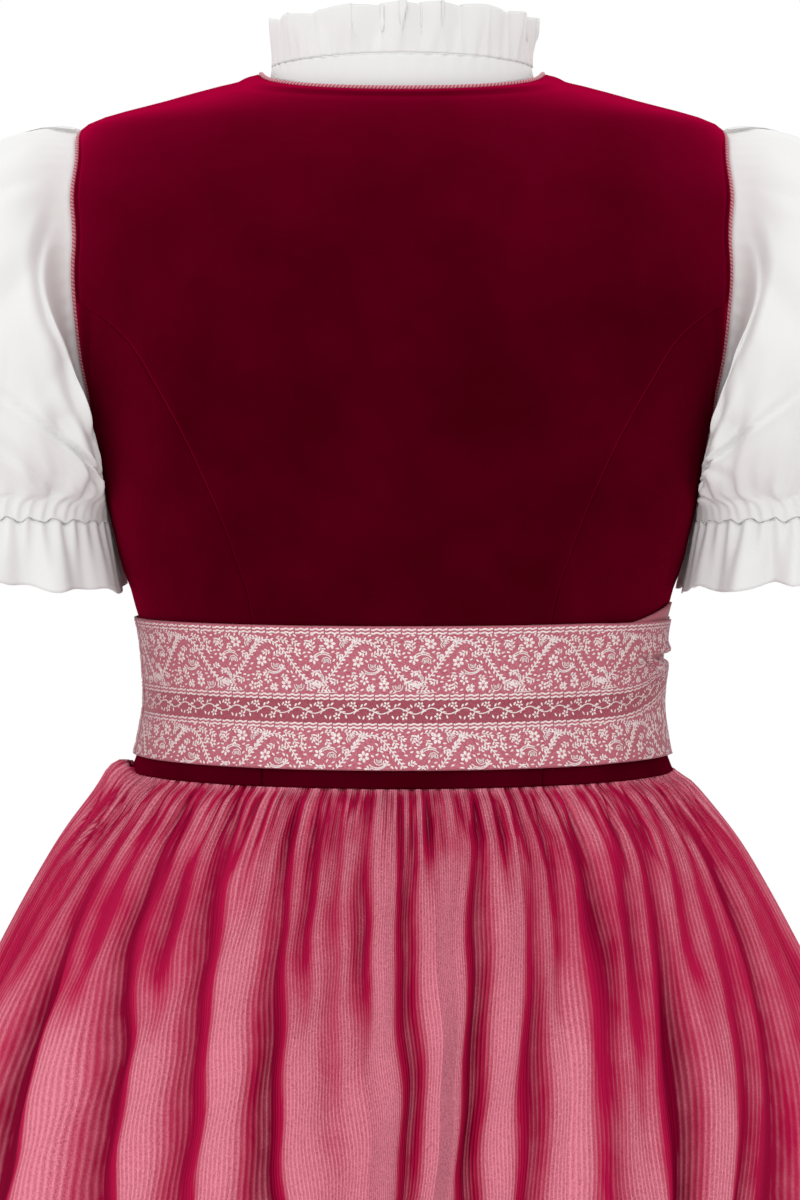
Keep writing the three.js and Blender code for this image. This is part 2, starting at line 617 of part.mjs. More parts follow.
function addRibbon() {
  const join = RIBBON_JOIN - 0.15;
  const ribbonRows = RIBBON_ROWS.map((z) => (z - RIBBON.top) / (RIBBON.bottom - RIBBON.top));
  addMesh("ribbon_back", clothWall({
    at: (u, v) => {
      const degrees = lerp(join, -join, u);
      return bodyOffset(degrees, lerp(RIBBON.top, RIBBON.bottom, v), ribbonLift(degrees) + WALL.ribbon);
    },
    rows: evenRows(ribbonRows, 26),
    wall: WALL.ribbon,
  }), MATERIALS.ribbon);
  addMesh("ribbon_under", clothWall({
    at: (u, v) => {
      const top = RIBBON.top + lerp(UNDER_RISE.from, UNDER_RISE.to, u);
      return bodyOffset(lerp(UNDER_FROM, -join, u), lerp(top, RIBBON.bottom + 20, v),
        RIBBON.underOffset + RIBBON.underWall);
    },
    rows: evenRows([0, 0.33, 0.66, 1], 6),
    wall: RIBBON.underWall,
  }), MATERIALS.ribbon);
  addMesh("ribbon_front", clothWall({
    at: (u, v) => bodyOffset(lerp(RIBBON_JOIN + 0.15, 360 - RIBBON_JOIN - 0.15, u),
      lerp(RIBBON.top, RIBBON.bottom, v), RIBBON.offset + WALL.ribbon),
    rows: evenRows(ribbonRows, 26),
    wall: WALL.ribbon,
  }), MATERIALS.ribbon);
}

// The apron's ridges stand this far out from the skirt's, at its top edge, over the seam and lower down.
const APRON_LIFT = { top: 1.6, seam: 3.2, low: 12.2 };
const APRON_SIDES = [106, 254];

function apronLift(z) {
  const overSeam = lerp(APRON_LIFT.top, APRON_LIFT.seam, between(z, RIBBON.bottom, WAIST_SEAM_Z + 1));
  const lower = THREE.MathUtils.clamp((WAIST_SEAM_Z + 1 - z) / (WAIST_SEAM_Z - FURROW_HEIGHTS[3]), 0, 1);
  return overSeam + (APRON_LIFT.low - APRON_LIFT.seam) * lower;
}

function addApron() {
  const top = RIBBON.bottom - GAP;
  const furrows = evenFurrows(10, APRON_SIDES[0] + 9, APRON_SIDES[1] - 9, [2.2, 4.5, 6.5, 7.5]);
  addMesh("apron_panel", gatheredPanel(furrows, APRON_SIDES, top, APRON_HEM_Z, apronLift,
    [top, -387, -396, -430, -600, -800, APRON_HEM_Z], 4, -600), MATERIALS.apron);
}

const BOW = { degrees: 160, z: -338, lift: 2.2, middle: 10 };
const KNOT = { halfWidth: 13, halfDepth: 9, halfHeight: 17 };
const LOOP = {
  root: 11.3, length: 78, rootWidth: 16, width: 46, halfDepth: 9.5, droop: 0.06, mouthTurn: 0.09,
};
const TAIL = {
  top: 16.8, length: 330, topWidth: 14, width: 60, clearance: 5, ripple: 3, slant: 16, spread: 12,
};

// Axes at the knot: across the waist towards the wearer's left, up, and out from the body.
function bowFrame() {
  const out = bodyNormal(BOW.degrees, BOW.z).setZ(0).normalize();
  const up = new THREE.Vector3(0, 0, 1);
  const across = new THREE.Vector3().crossVectors(up, out);
  const origin = bodyOffset(BOW.degrees, BOW.z, BOW.lift);
  return {
    out,
    origin,
    place: (a, b, c) =>
      origin.clone().addScaledVector(across, a).addScaledVector(up, b).addScaledVector(out, c),
  };
}

function addBow() {
  const { out, place } = bowFrame();
  const knot = new THREE.SphereGeometry(1, 10, 8);
  knot.scale(KNOT.halfWidth, KNOT.halfDepth, KNOT.halfHeight);
  const middle = place(0, 0, BOW.middle);
  knot.rotateZ(Math.atan2(out.y, out.x) + Math.PI / 2);
  knot.translate(middle.x, middle.y, middle.z);
  addMesh("bow_knot", knot, MATERIALS.ribbon);
  for (const { name, sign } of SIDES) {
    addMesh(`bow_loop_${name}`, clothWall({
      at: (u, v) => {
        const turn = lerp(LOOP.mouthTurn, 2 - LOOP.mouthTurn, u) * Math.PI;
        const reach = LOOP.length * (0.5 - 0.5 * Math.cos(turn));
        const width = lerp(LOOP.rootWidth, LOOP.width, Math.sin(turn / 2) ** 0.6);
        const depth = BOW.middle + 1 + LOOP.halfDepth * Math.sin(turn);
        return place(sign * (LOOP.root + reach), (0.5 - v) * width - LOOP.droop * reach, depth);
      },
      rows: evenRows([0, 0.5, 1], 14),
      wall: WALL.ribbon,
      inside: place(sign * (LOOP.root + LOOP.length / 2), 0, BOW.middle + 1),
    }), MATERIALS.ribbon);
    addMesh(`bow_tail_${name}`, clothWall({
      at: (u, v) => {
        const down = lerp(TAIL.top, TAIL.length, v) + (u - 0.5) * TAIL.slant * v;
        const width = lerp(TAIL.topWidth, TAIL.width, between(v, 0, 0.25));
        const ripple = TAIL.ripple * Math.sin(u * 2 * Math.PI) * between(v, 0.1, 0.5);
        const hang = apronReach(BOW.z - down) + TAIL.clearance + ripple;
        const aside = sign * (2 + TAIL.spread * v + u * width);
        return place(aside, -down, lerp(BOW.middle - 1, hang, between(v, 0, 0.16)));
      },
      rows: evenRows([0, 0.08, 0.16, 0.3, 0.6, 1], 5),
      wall: WALL.ribbon,
      inside: place(0, 0, -100),
    }), MATERIALS.ribbon);
  }
}

// How far the apron's face stands out from the knot's own plane at a height below it.
function apronReach(z) {
  const { out, origin } = bowFrame();
  const reaches = spread(28, APRON_SIDES[0], APRON_SIDES[1]).map((degrees) =>
    skirtPoint(degrees, Math.min(z, WAIST_SEAM_Z), APRON_LIFT.low * 0.85).sub(origin).dot(out));
  return Math.max(...reaches);
}

// Blouse

// The ring on which the collar stands; share runs up the stand, and rise goes on from there.
function collarPoint(degrees, share, rise, lean) {
  const c = Math.cos(degrees * DEG);
  const drop = (c > 0 ? COLLAR.backDrop : COLLAR.frontDrop) * c * c;
  const depth = c > 0 ? COLLAR.backDepth : COLLAR.frontDepth;
  const height = lerp(STAND.sideHeight, STAND.middleHeight, c * c);
  return new THREE.Vector3((COLLAR.halfWidth + lean) * Math.sin(degrees * DEG), (depth + lean) * c,
    COLLAR.side - drop + height * share + rise);
}

function blouseEdge(face) {
  return (z) => (z > SHOULDER_TIP_Z || z < UNDERARM_Z ? 90 : armholeAngle(face, z));
}

const BLOUSE_ROWS = [0, 0.025, 0.07, 0.116, 0.16, 0.24, 0.36, 0.5, 0.64, 0.73, 0.792, 1];

// A blouse panel follows the bodice inside, and its first rows rise to the collar.
function blousePoint(face, across, v) {
  const edgeZ = BLOUSE.hem * v;
  const drop = face === "back" ? NAPE_DROP + 4 : COLLAR.frontDrop + 6;
  const angle = across * (blouseEdge(face)(edgeZ) - seamAngle(edgeZ));
  const dip = drop * Math.cos(across * 90 * DEG) ** 2 * (1 - v);
  const onBody = bodyOffset(face === "back" ? angle : 180 - angle, edgeZ - dip, BLOUSE.offset);
  const shown = face === "back" ? across * 90 : 180 - across * 90;
  const atCollar = collarPoint(shown, 0, -BLOUSE.collarSeam, 0);
  return atCollar.lerp(onBody, between(v, -0.001, 0.05));
}

function addBlouse() {
  addMesh("blouse_back", clothWall({
    at: (u, v) => blousePoint("back", THREE.MathUtils.clamp(2 * u - 1, -1.01, 1.01), v),
    rows: evenRows(BLOUSE_ROWS, 12),
    wall: WALL.cotton,
  }), MATERIALS.cotton);
  for (const { name, sign } of SIDES) {
    addMesh(`blouse_front_${name}`, clothWall({
      at: (u, v) => mirrored(blousePoint("front", lerp(0.0012, 1, u), v), sign),
      rows: evenRows(BLOUSE_ROWS, 6),
      wall: WALL.cotton,
    }), MATERIALS.cotton);
  }
  addMesh("collar_stand", clothWall({
    at: (u, v) => collarPoint(360 * u, 1 - v, 0, STAND.lean * (1 - v)),
    rows: evenRows([0, 1], 40),
    wall: WALL.cotton,
    closed: true,
  }), MATERIALS.cotton);
  addMesh("collar_ruffle", clothWall({
    at: (u, v) => {
      const rise = 1 - v;
      const wave = COLLAR_RUFFLE.wave * smooth(rise) * waveAt(u, COLLAR_RUFFLE.waves);
      return collarPoint(360 * u, 1, GAP + COLLAR_RUFFLE.height * rise,
        STAND.lean + COLLAR_RUFFLE.flare * smooth(rise) + wave);
    },
    rows: evenRows([0, 0.5, 1], COLLAR_RUFFLE.waves * 4),
    wall: WALL.ruffle,
    closed: true,
  }), MATERIALS.cotton);
}

// An uneven wave that still closes on itself round a ring.
function waveAt(u, waves) {
  const turn = 2 * Math.PI * u;
  const drift = 0.35 * Math.sin(3 * turn + 0.5);
  return (0.8 + 0.2 * Math.sin(5 * turn + 1)) * Math.sin(waves * turn + drift);
}

// Along the body's surface, straight out of the armhole.
function beyondArmhole(t) {
  const [before, edge, after] = [t - 0.002, t, t + 0.002].map(armholeEdge);
  const along = bodyPoint(after.degrees, after.z).sub(bodyPoint(before.degrees, before.z));
  return along.cross(bodyNormal(edge.degrees, edge.z)).normalize();
}

// Where the sleeve lies against the bodice, its gathers and waves are pressed flatter.
function pressedShare(u) {
  return 1 - 0.75 * between(-Math.cos(2 * Math.PI * u), 0.3, 0.9);
}

// A ring of the sleeve between two rows of the table; ring -1 is the armhole itself.
function sleevePoint(u, place) {
  const turn = 2 * Math.PI * u;
  const edge = armholeEdge(u);
  const last = SLEEVE_RINGS.length - 1;
  const ringPoint = (k) => {
    const row = SLEEVE_RINGS[k];
    const c = Math.cos(turn);
    const s = Math.sin(turn);
    const depth = s > 0 ? row.back : row.front;
    return new THREE.Vector3((row.outerX + row.innerX) / 2 + ((row.outerX - row.innerX) / 2) * c,
      depth * s, (row.outerZ + row.innerZ) / 2 + ((row.outerZ - row.innerZ) / 2) * c);
  };
  const start = bodyOffset(edge.degrees, edge.z, BLOUSE.offset);
  const centre = new THREE.Vector3(176, 0, (SHOULDER_TIP_Z + UNDERARM_Z) / 2);
  start.lerp(centre, 0.03).add(new THREE.Vector3(1.2, 0, 0));
  const lip = bodyPoint(edge.degrees, edge.z).addScaledVector(beyondArmhole(u), SLEEVE_LIP.beyond)
    .addScaledVector(bodyNormal(edge.degrees, edge.z), SLEEVE_LIP.offset);
  const knots = [start, lip, ...SLEEVE_RINGS.map((_, k) => ringPoint(k))];
  const at = THREE.MathUtils.clamp(place, 0, last + 2);
  const i = Math.min(knots.length - 2, Math.floor(at));
  return knots[i].clone().lerp(knots[i + 1], at - i);
}

function sleeveGather(u, place) {
  const last = SLEEVE_RINGS.length + 1;
  const head = between(place, 0.8, 2) * (1 - between(place, 3, 5));
  const cuff = between(place, last - 5, last - 2.2) * (1 - between(place, last - 2, last - 1));
  return (2.2 * head * waveAt(u, 14) + 2.6 * cuff * waveAt(u, 15)) * pressedShare(u);
}

function addSleeves() {
  const last = SLEEVE_RINGS.length + 1;
  const armCentre = new THREE.Vector3(220, 0, -150);
  for (const { name, sign } of SIDES) {
    addMesh(`sleeve_${name}`, clothWall({
      at: (u, v) => {
        const place = v * last;
        const point = sleevePoint(u - Math.floor(u), place);
        const outwards = point.clone().sub(sleeveMiddle(place)).normalize();
        return mirrored(point.addScaledVector(outwards, sleeveGather(u, place)), sign);
      },
      rows: evenRows(spread(last), 26),
      wall: WALL.cotton,
      closed: true,
      inside: mirrored(armCentre, sign),
    }), MATERIALS.cotton);
    addMesh(`sleeve_ruffle_${name}`, clothWall({
      at: (u, v) => {
        const point = sleevePoint(u - Math.floor(u), last);
        const outwards = point.clone().sub(sleeveMiddle(last)).setZ(0).normalize();
        const wave = SLEEVE_RUFFLE.wave * smooth(v * 1.4) * waveAt(u, SLEEVE_RUFFLE.waves) * pressedShare(u);
        return mirrored(point.addScaledVector(outwards, SLEEVE_RUFFLE.flare * v + wave)
          .add(new THREE.Vector3(0, 0, -GAP - SLEEVE_RUFFLE.height * v)), sign);
      },
      rows: evenRows([0, 0.5, 1], SLEEVE_RUFFLE.waves * 4),
      wall: WALL.ruffle,
      closed: true,
    }), MATERIALS.cotton);
  }
}

function sleeveMiddle(place) {
  return sleevePoint(0, place).add(sleevePoint(0.5, place)).multiplyScalar(0.5);
}

addBodice();
addPiping();
addButtons("bodice_button", BODICE_BUTTON_HEIGHTS, 6, 0.5);
addSkirt();
addRibbon();
addApron();
addBow();
addBlouse();
addSleeves();
addButtons("blouse_button", BLOUSE_BUTTON_HEIGHTS, 4.5, BLOUSE.offset + 0.6);

export default group;
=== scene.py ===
import math
import bmesh
import bpy
import numpy as np
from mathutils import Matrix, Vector


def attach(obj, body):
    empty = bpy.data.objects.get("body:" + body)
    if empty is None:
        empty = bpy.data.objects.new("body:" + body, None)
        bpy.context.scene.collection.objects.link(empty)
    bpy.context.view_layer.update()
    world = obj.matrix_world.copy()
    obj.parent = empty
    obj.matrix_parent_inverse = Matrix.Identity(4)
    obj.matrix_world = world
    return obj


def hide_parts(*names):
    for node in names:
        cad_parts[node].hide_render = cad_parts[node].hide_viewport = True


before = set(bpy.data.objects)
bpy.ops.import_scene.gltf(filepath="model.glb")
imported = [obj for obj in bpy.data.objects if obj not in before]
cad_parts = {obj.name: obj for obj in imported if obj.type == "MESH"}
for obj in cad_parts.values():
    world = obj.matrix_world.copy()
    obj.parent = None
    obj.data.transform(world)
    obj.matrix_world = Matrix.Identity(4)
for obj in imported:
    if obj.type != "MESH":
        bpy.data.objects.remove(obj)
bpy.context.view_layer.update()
print("frame loaded")

# Sizes below are in millimetres. The front faces -Y and the wearer's left is +X. Angles run from the
# centre back (0) over the wearer's left side (90) to the centre front (180).
mm = 0.001
sides = {"left": 1, "right": -1}
# camera, floor and the strength of the lights
studio = {"distance": 1800, "eye": -198, "tilt": 3.0, "scale": 0.56, "aside": 1.1, "floor": -1400,
          "fill": 1.0, "key": 5.5, "sideKey": 2.6, "top": 2.5}


# Reading the tables of sizes


def smoothStep(x):
    x = np.clip(x, 0, 1)
    return x * x * (3 - 2 * x)


def between(x, start, end):
    return smoothStep((x - start) / (end - start))


def lerp(a, b, t):
    return a + (b - a) * t


def bell(apart, width):
    return np.exp(-((apart / width) ** 2))


def runLengths(points):
    # how far along a line each of its points lies
    return np.concatenate([[0], np.cumsum(np.linalg.norm(np.diff(points, axis=0), axis=1))])


def easeCurve(t, start, leave, end, arrive):
    # a cubic that leaves its start and arrives at its end in given directions
    return ((2 * t**3 - 3 * t**2 + 1) * start + (t**3 - 2 * t**2 + t) * leave
            + (3 * t**2 - 2 * t**3) * end + (t**3 - t**2) * arrive)


def curveOf(places, values):
    # a cubic through the rows that never overshoots them, as the solids have
    order = np.argsort(places)
    xs = np.array(places, float)[order]
    ys = np.array(values, float)[order]
    slopes = np.diff(ys) / np.diff(xs)
    tangents = np.empty_like(ys)
    tangents[0] = slopes[0]
    tangents[-1] = slopes[-1]
    product = slopes[:-1] * slopes[1:]
    total = np.where(slopes[:-1] + slopes[1:] == 0, 1, slopes[:-1] + slopes[1:])
    tangents[1:-1] = np.where(product <= 0, 0, 2 * product / total)

    def read(x):
        x = np.asarray(x, float)
        i = np.clip(np.searchsorted(xs, x) - 1, 0, len(xs) - 2)
        span = xs[i + 1] - xs[i]
        t = (x - xs[i]) / span
        inside = easeCurve(t, ys[i], span * tangents[i], ys[i + 1], span * tangents[i + 1])
        low = ys[0] + slopes[0] * (x - xs[0])
        high = ys[-1] + slopes[-1] * (x - xs[-1])
        return np.where(t < 0, low, np.where(t > 1, high, inside))

    return read


def closerAtEdges(t, share=0.7):
    # spaces rows of points more closely near both edges of a panel
    return t - share / (2 * math.pi) * np.sin(2 * math.pi * t)


def wobble(x, seed):
    # a smooth unevenness between about -1 and 1
    return (np.sin(x * 1.0 + seed * 1.7) + 0.6 * np.sin(x * 2.3 + seed * 3.1)
            + 0.35 * np.sin(x * 4.9 + seed * 5.3)) / 1.6


# The worn form that bodice, ribbon and blouse share

bodySizes = {
    "z": [12, 0, -14, -29, -50, -75, -100, -130, -160, -180, -198, -237, -270, -293, -315, -345, -371,
          -387, -400],
    "half": [62, 80, 127, 176, 189, 197.5, 197.5, 194, 184.5, 176.5, 171.5, 165, 157, 150, 145, 143, 147, 152,
             157],
    "back": [37, 43, 62, 75, 88, 99, 108, 114, 115, 114, 112, 107, 102, 99, 97, 97, 100, 104, 108],
    "front": [26, 34, 52, 65, 80, 95, 108, 121, 129, 132, 131, 123, 114, 108, 104, 103, 106, 110, 114],
}
armholeSizes = {
    "z": [-29, -38, -50, -75, -100, -130, -160, -180, -191, -198],
    "back": [0, 19, 30, 42, 47, 46, 36, 24, 13, 0],
    "front": [0, 22, 36, 53, 61, 60, 47, 31, 17, 0],
}
princessSizes = {
    "z": [-128, -135, -150, -172, -199, -221, -244, -270, -289, -330, -387],
    "back": [177.7, 164, 147, 133, 117.5, 107, 97, 88, 82, 77, 75],
    "front": [168.3, 147.5, 130.5, 113, 100, 92, 85, 78, 73, 68, 67],
}
bodiceEdges = {"tip": -29, "princessTop": -128, "underarm": -198, "waist": -387, "napeDrop": 14, "gap": 0.3,
               "wall": 2.0}
frontNeck = {
    "innerX": [80, 81, 82, 83, 84, 82, 74, 56, 29, 0],
    "innerZ": [0, -6, -15, -29, -50, -78, -104, -124, -135, -138],
    "outerZ": [-29, -35, -44, -58, -78, -100, -116, -128, -140, -154],
    "rowsBelow": 7, "belowInner": -150, "belowOuter": -166,
}

bodyHalf = curveOf(bodySizes["z"], bodySizes["half"])
bodyBack = curveOf(bodySizes["z"], bodySizes["back"])
bodyFront = curveOf(bodySizes["z"], bodySizes["front"])
armholeDepth = {face: curveOf(armholeSizes["z"], armholeSizes[face]) for face in ("back", "front")}
princessSide = {face: curveOf(princessSizes["z"], princessSizes[face]) for face in ("back", "front")}


def bodyPoint(degrees, z):
    angle = np.radians(degrees)
    depth = np.where(np.cos(angle) > 0, bodyBack(z), bodyFront(z))
    return np.stack([bodyHalf(z) * np.sin(angle), depth * np.cos(angle), z + 0 * angle], -1)


def unit(vectors):
    return vectors / np.maximum(np.linalg.norm(vectors, axis=-1, keepdims=True), 1e-9)


def bodyNormal(degrees, z):
    along = bodyPoint(degrees + 0.05, z) - bodyPoint(degrees - 0.05, z)
    up = bodyPoint(degrees, z + 0.05) - bodyPoint(degrees, z - 0.05)
    return -unit(np.cross(along, up))


def bodyOffset(degrees, z, distance):
    return bodyPoint(degrees, z) + bodyNormal(degrees, z) * np.expand_dims(distance + 0 * z, -1)


def armholeAngle(face, z):
    depth = bodyBack(z) if face == "back" else bodyFront(z)
    return np.degrees(np.arccos(np.clip(armholeDepth[face](z) / depth, 0, 1)))


def angleOfSide(x, z):
    return np.degrees(np.arcsin(np.clip(x / bodyHalf(z), 0, 1)))


def princessAngle(face, z):
    return angleOfSide(princessSide[face](z), z)


def seamAngle(z):
    return np.degrees(bodiceEdges["gap"] / 2 / bodyHalf(z))


# Meshes


def finishObject(bm, name, materials, smooth=True):
    mesh = bpy.data.meshes.new(name)
    bm.to_mesh(mesh)
    bm.free()
    piece = bpy.data.objects.new(name, mesh)
    bpy.context.scene.collection.objects.link(piece)
    for material in materials:
        mesh.materials.append(material)
    if smooth:
        mesh.shade_smooth()
    return piece


def joinPart(piece, nodes=()):
    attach(piece, "root")
    if nodes:
        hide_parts(*nodes)


def clothPiece(name, surface, across, down, cut, material, nodes, wall=None, closed=False,
               inside=None, attributes=None, mirror=1):
    # surface(u, v) gives points in millimetres; cut is the flat size in millimetres, also used for the UVs
    bm = bmesh.new()
    bmesh.ops.create_grid(bm, x_segments=across, y_segments=down, size=0.5)
    bm.verts.ensure_lookup_table()
    flat = np.array([vert.co[:2] for vert in bm.verts])
    u = flat[:, 0] + 0.5
    v = 0.5 - flat[:, 1]
    points = surface(u, v) * np.array([mirror, 1, 1])
    if attributes:
        layers = {key: bm.verts.layers.float.new(key) for key in attributes}
        values = {key: read(u, v) for key, read in attributes.items()}
    uvLayer = bm.loops.layers.uv.new("UVMap")
    for face in bm.faces:
        for loop in face.loops:
            i = loop.vert.index
            loop[uvLayer].uv = (u[i] * cut[0] * mm, (1 - v[i]) * cut[1] * mm)
    for i, vert in enumerate(bm.verts):
        vert.co = points[i] * mm
        if attributes:
            for key in attributes:
                vert[layers[key]] = values[key][i]
    if closed:
        bmesh.ops.remove_doubles(bm, verts=bm.verts, dist=1e-6)
    bm.normal_update()
    bm.faces.ensure_lookup_table()
    middle = bm.faces[len(bm.faces) // 2 + across // 3]
    centre = middle.calc_center_median()
    core = Vector((0, 0, centre.z)) if inside is None else Vector(inside) * mm
    core.x *= mirror
    if middle.normal.dot(centre - core) < 0:
        bmesh.ops.reverse_faces(bm, faces=bm.faces)
    piece = finishObject(bm, name, [material])
    if wall:
        shell = piece.modifiers.new("wall", "SOLIDIFY")
        shell.thickness = wall * mm
        shell.offset = -1
    joinPart(piece, nodes)


# Materials


class Flow:
    # wraps an output socket, so that shader maths is written as ordinary sums
    def __init__(self, graph, socket):
        self.graph = graph
        self.socket = socket

    def math(self, operation, other=None, swap=False):
        inputs = [other, self] if swap else ([self] if other is None else [self, other])
        return self.graph.node("ShaderNodeMath", {"operation": operation}, inputs)

    def __add__(self, other):
        return self.math("ADD", other)

    def __sub__(self, other):
        return self.math("SUBTRACT", other)

    def __rsub__(self, other):
        return self.math("SUBTRACT", other, True)

    def __mul__(self, other):
        return self.math("MULTIPLY", other)

    def __pow__(self, other):
        return self.math("POWER", other)

    def clamped(self):
        return self.graph.node("ShaderNodeClamp", {}, [self])

    def sine(self, pitch):
        # a wave that repeats every so many millimetres
        return (self * (2 * math.pi / (pitch * mm))).math("SINE")


class Graph:
    def __init__(self, name):
        self.material = bpy.data.materials.new(name)
        self.material.use_nodes = True
        self.tree = self.material.node_tree
        self.tree.nodes.clear()

    def node(self, kind, settings, inputs=(), output=0):
        made = self.tree.nodes.new(kind)
        for key, value in settings.items():
            if key == "stops":
                ramp = made.color_ramp
                for i, (place, colour) in enumerate(value):
                    stop = ramp.elements[i] if i < 2 else ramp.elements.new(place)
                    stop.position = place
                    stop.color = (*colour, 1)
            else:
                setattr(made, key, value)
        pairs = inputs.items() if isinstance(inputs, dict) else enumerate(inputs)
        for key, value in pairs:
            if isinstance(value, Flow):
                self.tree.links.new(value.socket, made.inputs[key])
            elif value is not None:
                made.inputs[key].default_value = value
        return Flow(self, made.outputs[output])

    def coords(self, scale=(1, 1, 1), uv=False):
        source = self.node("ShaderNodeTexCoord", {}, output="UV" if uv else "Object")
        return self.node("ShaderNodeMapping", {}, {"Vector": source, "Scale": scale})

    def noise(self, vector, scale, detail=3, roughness=0.55):
        return self.node("ShaderNodeTexNoise", {}, {"Vector": vector, "Scale": scale, "Detail": detail,
                                                    "Roughness": roughness}, output="Fac")

    def attribute(self, name):
        return self.node("ShaderNodeAttribute", {"attribute_name": name}, output="Fac")

    def parts(self, vector):
        made = self.tree.nodes.new("ShaderNodeSeparateXYZ")
        self.tree.links.new(vector.socket, made.inputs[0])
        return [Flow(self, made.outputs[i]) for i in range(3)]

    def mix(self, factor, a, b):
        colour = [(*c, 1) if isinstance(c, tuple) else c for c in (a, b)]
        inputs = {0: factor, 6: colour[0], 7: colour[1]}
        return self.node("ShaderNodeMix", {"data_type": "RGBA"}, inputs, output=2)

    def bump(self, height, strength, distance):
        return self.node("ShaderNodeBump", {}, {"Height": height, "Strength": strength, "Distance": distance})

    def facing(self, blend):
        return self.node("ShaderNodeLayerWeight", {}, {"Blend": blend}, output="Facing")

    def cloth(self, colour, normal=None, **fixed):
        inputs = {"Base Color": (*colour, 1) if isinstance(colour, tuple) else colour, "Normal": normal}
        inputs.update({key.replace("_", " "): value for key, value in fixed.items()})
        return self.node("ShaderNodeBsdfPrincipled", {}, inputs)

    def blend(self, factor, a, b):
        return self.node("ShaderNodeMixShader", {}, [factor, a, b])

    def finish(self, shader):
        out = self.tree.nodes.new("ShaderNodeOutputMaterial")
        self.tree.links.new(shader.socket, out.inputs[0])
        return self.material


# its last two numbers paint light on the rim, from above and from the wearer's left
velvetLook = {"dark": (0.046, 0.0, 0.0030), "lit": (0.080, 0.0, 0.0070), "rim": (0.36, 0.0008, 0.034),
              "rimPower": 2.1, "rimShare": 1.75, "paintedLightRise": 4.2, "paintedLightSide": 0.6}


def velvet():
    g = Graph("velvet")
    place = g.coords()
    cloudy = g.noise(place, 16, 4)
    pile = g.noise(place, 1400, 2)
    tone = g.mix((cloudy * 1.6 - 0.3).clamped(), velvetLook["dark"], velvetLook["lit"])
    normal = g.bump(pile, 0.35, 0.0004)
    flat = g.cloth(tone, normal, Roughness=1.0, Specular_IOR_Level=0.0)
    rim = g.cloth(velvetLook["rim"], normal, Roughness=1.0, Specular_IOR_Level=0.0)
    aside, height = g.parts(place)[::2]
    # painted light: the rim is painted lighter towards the shoulders and on the wearer's left, as if lit from
    # above and from that side
    share = height * velvetLook["paintedLightRise"] + aside * velvetLook["paintedLightSide"] + velvetLook["rimShare"]
    rimWithPaintedLight = g.facing(0.5) ** velvetLook["rimPower"] * share
    # painted light: the velvet is painted brighter towards the shoulders, as if lit from above
    shoulder = (height * 0.9 + 0.125).clamped()
    return g.finish(g.blend((rimWithPaintedLight + shoulder + pile * 0.05 + cloudy * 0.1 - 0.07).clamped(), flat, rim))


pipingLook = {"light": (0.70, 0.30, 0.34), "dark": (0.36, 0.035, 0.065), "twists": 480}


def pipingCord():
    g = Graph("piping")
    x, y = g.parts(g.coords(uv=True))[:2]
    twist = (x * pipingLook["twists"] * 2 * math.pi + y * 12.6).math("SINE") * 0.5 + 0.5
    tone = g.mix(twist, pipingLook["dark"], pipingLook["light"])
    return g.finish(g.cloth(tone, g.bump(twist, 0.6, 0.0003), Roughness=0.75, Sheen_Weight=0.2))


satinLook = {"red": (0.47, 0.006, 0.060), "deep": (0.20, 0.0, 0.022), "shade": (0.42, 0.050, 0.093),
             "rose": (0.87, 0.26, 0.35), "ribPitch": 4.4, "ribBump": 1.2, "gatherScale": 120, "gatherBump": 9,
             "gatherLightAndShade": 3.2}


def skirtSatin():
    # red warp and pink weft: pink where it faces the eye, red along the sides of the folds; the furrows are
    # also painted a deeper red as painted shade, and the crests pinker as painted highlight
    g = Graph("skirtSatin")
    x = g.parts(g.coords(uv=True))[0]
    height = g.parts(g.coords())[2]
    furrowShade = g.attribute("furrowShade")
    crest = g.attribute("crest")
    rib = x.sine(satinLook["ribPitch"]) * 0.5 + 0.5
    speck = g.noise(g.coords((1, 1, 0.6)), 1500, 2, 0.7)
    streak = g.noise(g.coords((1, 1, 0.10)), 75, 3)
    cloud = g.noise(g.coords((1, 1, 0.35)), 14, 2)
    # painted highlight: the crests of the folds are painted pinker
    glow = (speck * 2.0 - 0.74 + rib * 0.46 + crest * 0.25).clamped()
    rose = g.mix(glow, satinLook["shade"], satinLook["rose"])
    # painted shade: the deeper a furrow lies, the darker red it is painted
    redTone = g.mix((furrowShade * 1.4 - 0.7).clamped(), satinLook["red"], satinLook["deep"])
    # small gathers under the seam, which is 387 mm below the origin; besides their bump they get painted
    # light and painted shade
    gather = g.noise(g.coords((1, 0.05, 1), uv=True), satinLook["gatherScale"], 2, 0.5)
    nearSeam = (height * 17 + 7.6).clamped()
    normal = g.bump(rib * satinLook["ribBump"] + gather * nearSeam * satinLook["gatherBump"], 1.0, 0.0005)
    faceOn = g.cloth(rose, normal, Roughness=0.5, Specular_IOR_Level=0.1)
    oblique = g.cloth(redTone, normal, Roughness=0.5, Specular_IOR_Level=0.02)
    # painted shade and light: furrows lean towards the red shader, and the small gathers near the seam are
    # painted lighter and darker
    side = (furrowShade * 1.9 - 0.22).clamped() * 0.95 - (gather - 0.5) * nearSeam * satinLook["gatherLightAndShade"]
    # painted highlight: the crests are also pushed towards the pink shader
    turn = g.facing(0.5) * 1.7 + side + streak * 0.9 + cloud * 0.7 - 1.04 - rib * 0.2 - crest * 0.3
    return g.finish(g.blend(turn.clamped(), faceOn, oblique))


apronLook = {"lightFrom": (0.42, 0.20, 0.235), "lightTo": (0.66, 0.42, 0.45), "dark": (0.42, 0.15, 0.19),
             "deep": (0.24, 0.05, 0.08), "weftPitch": 0.9}


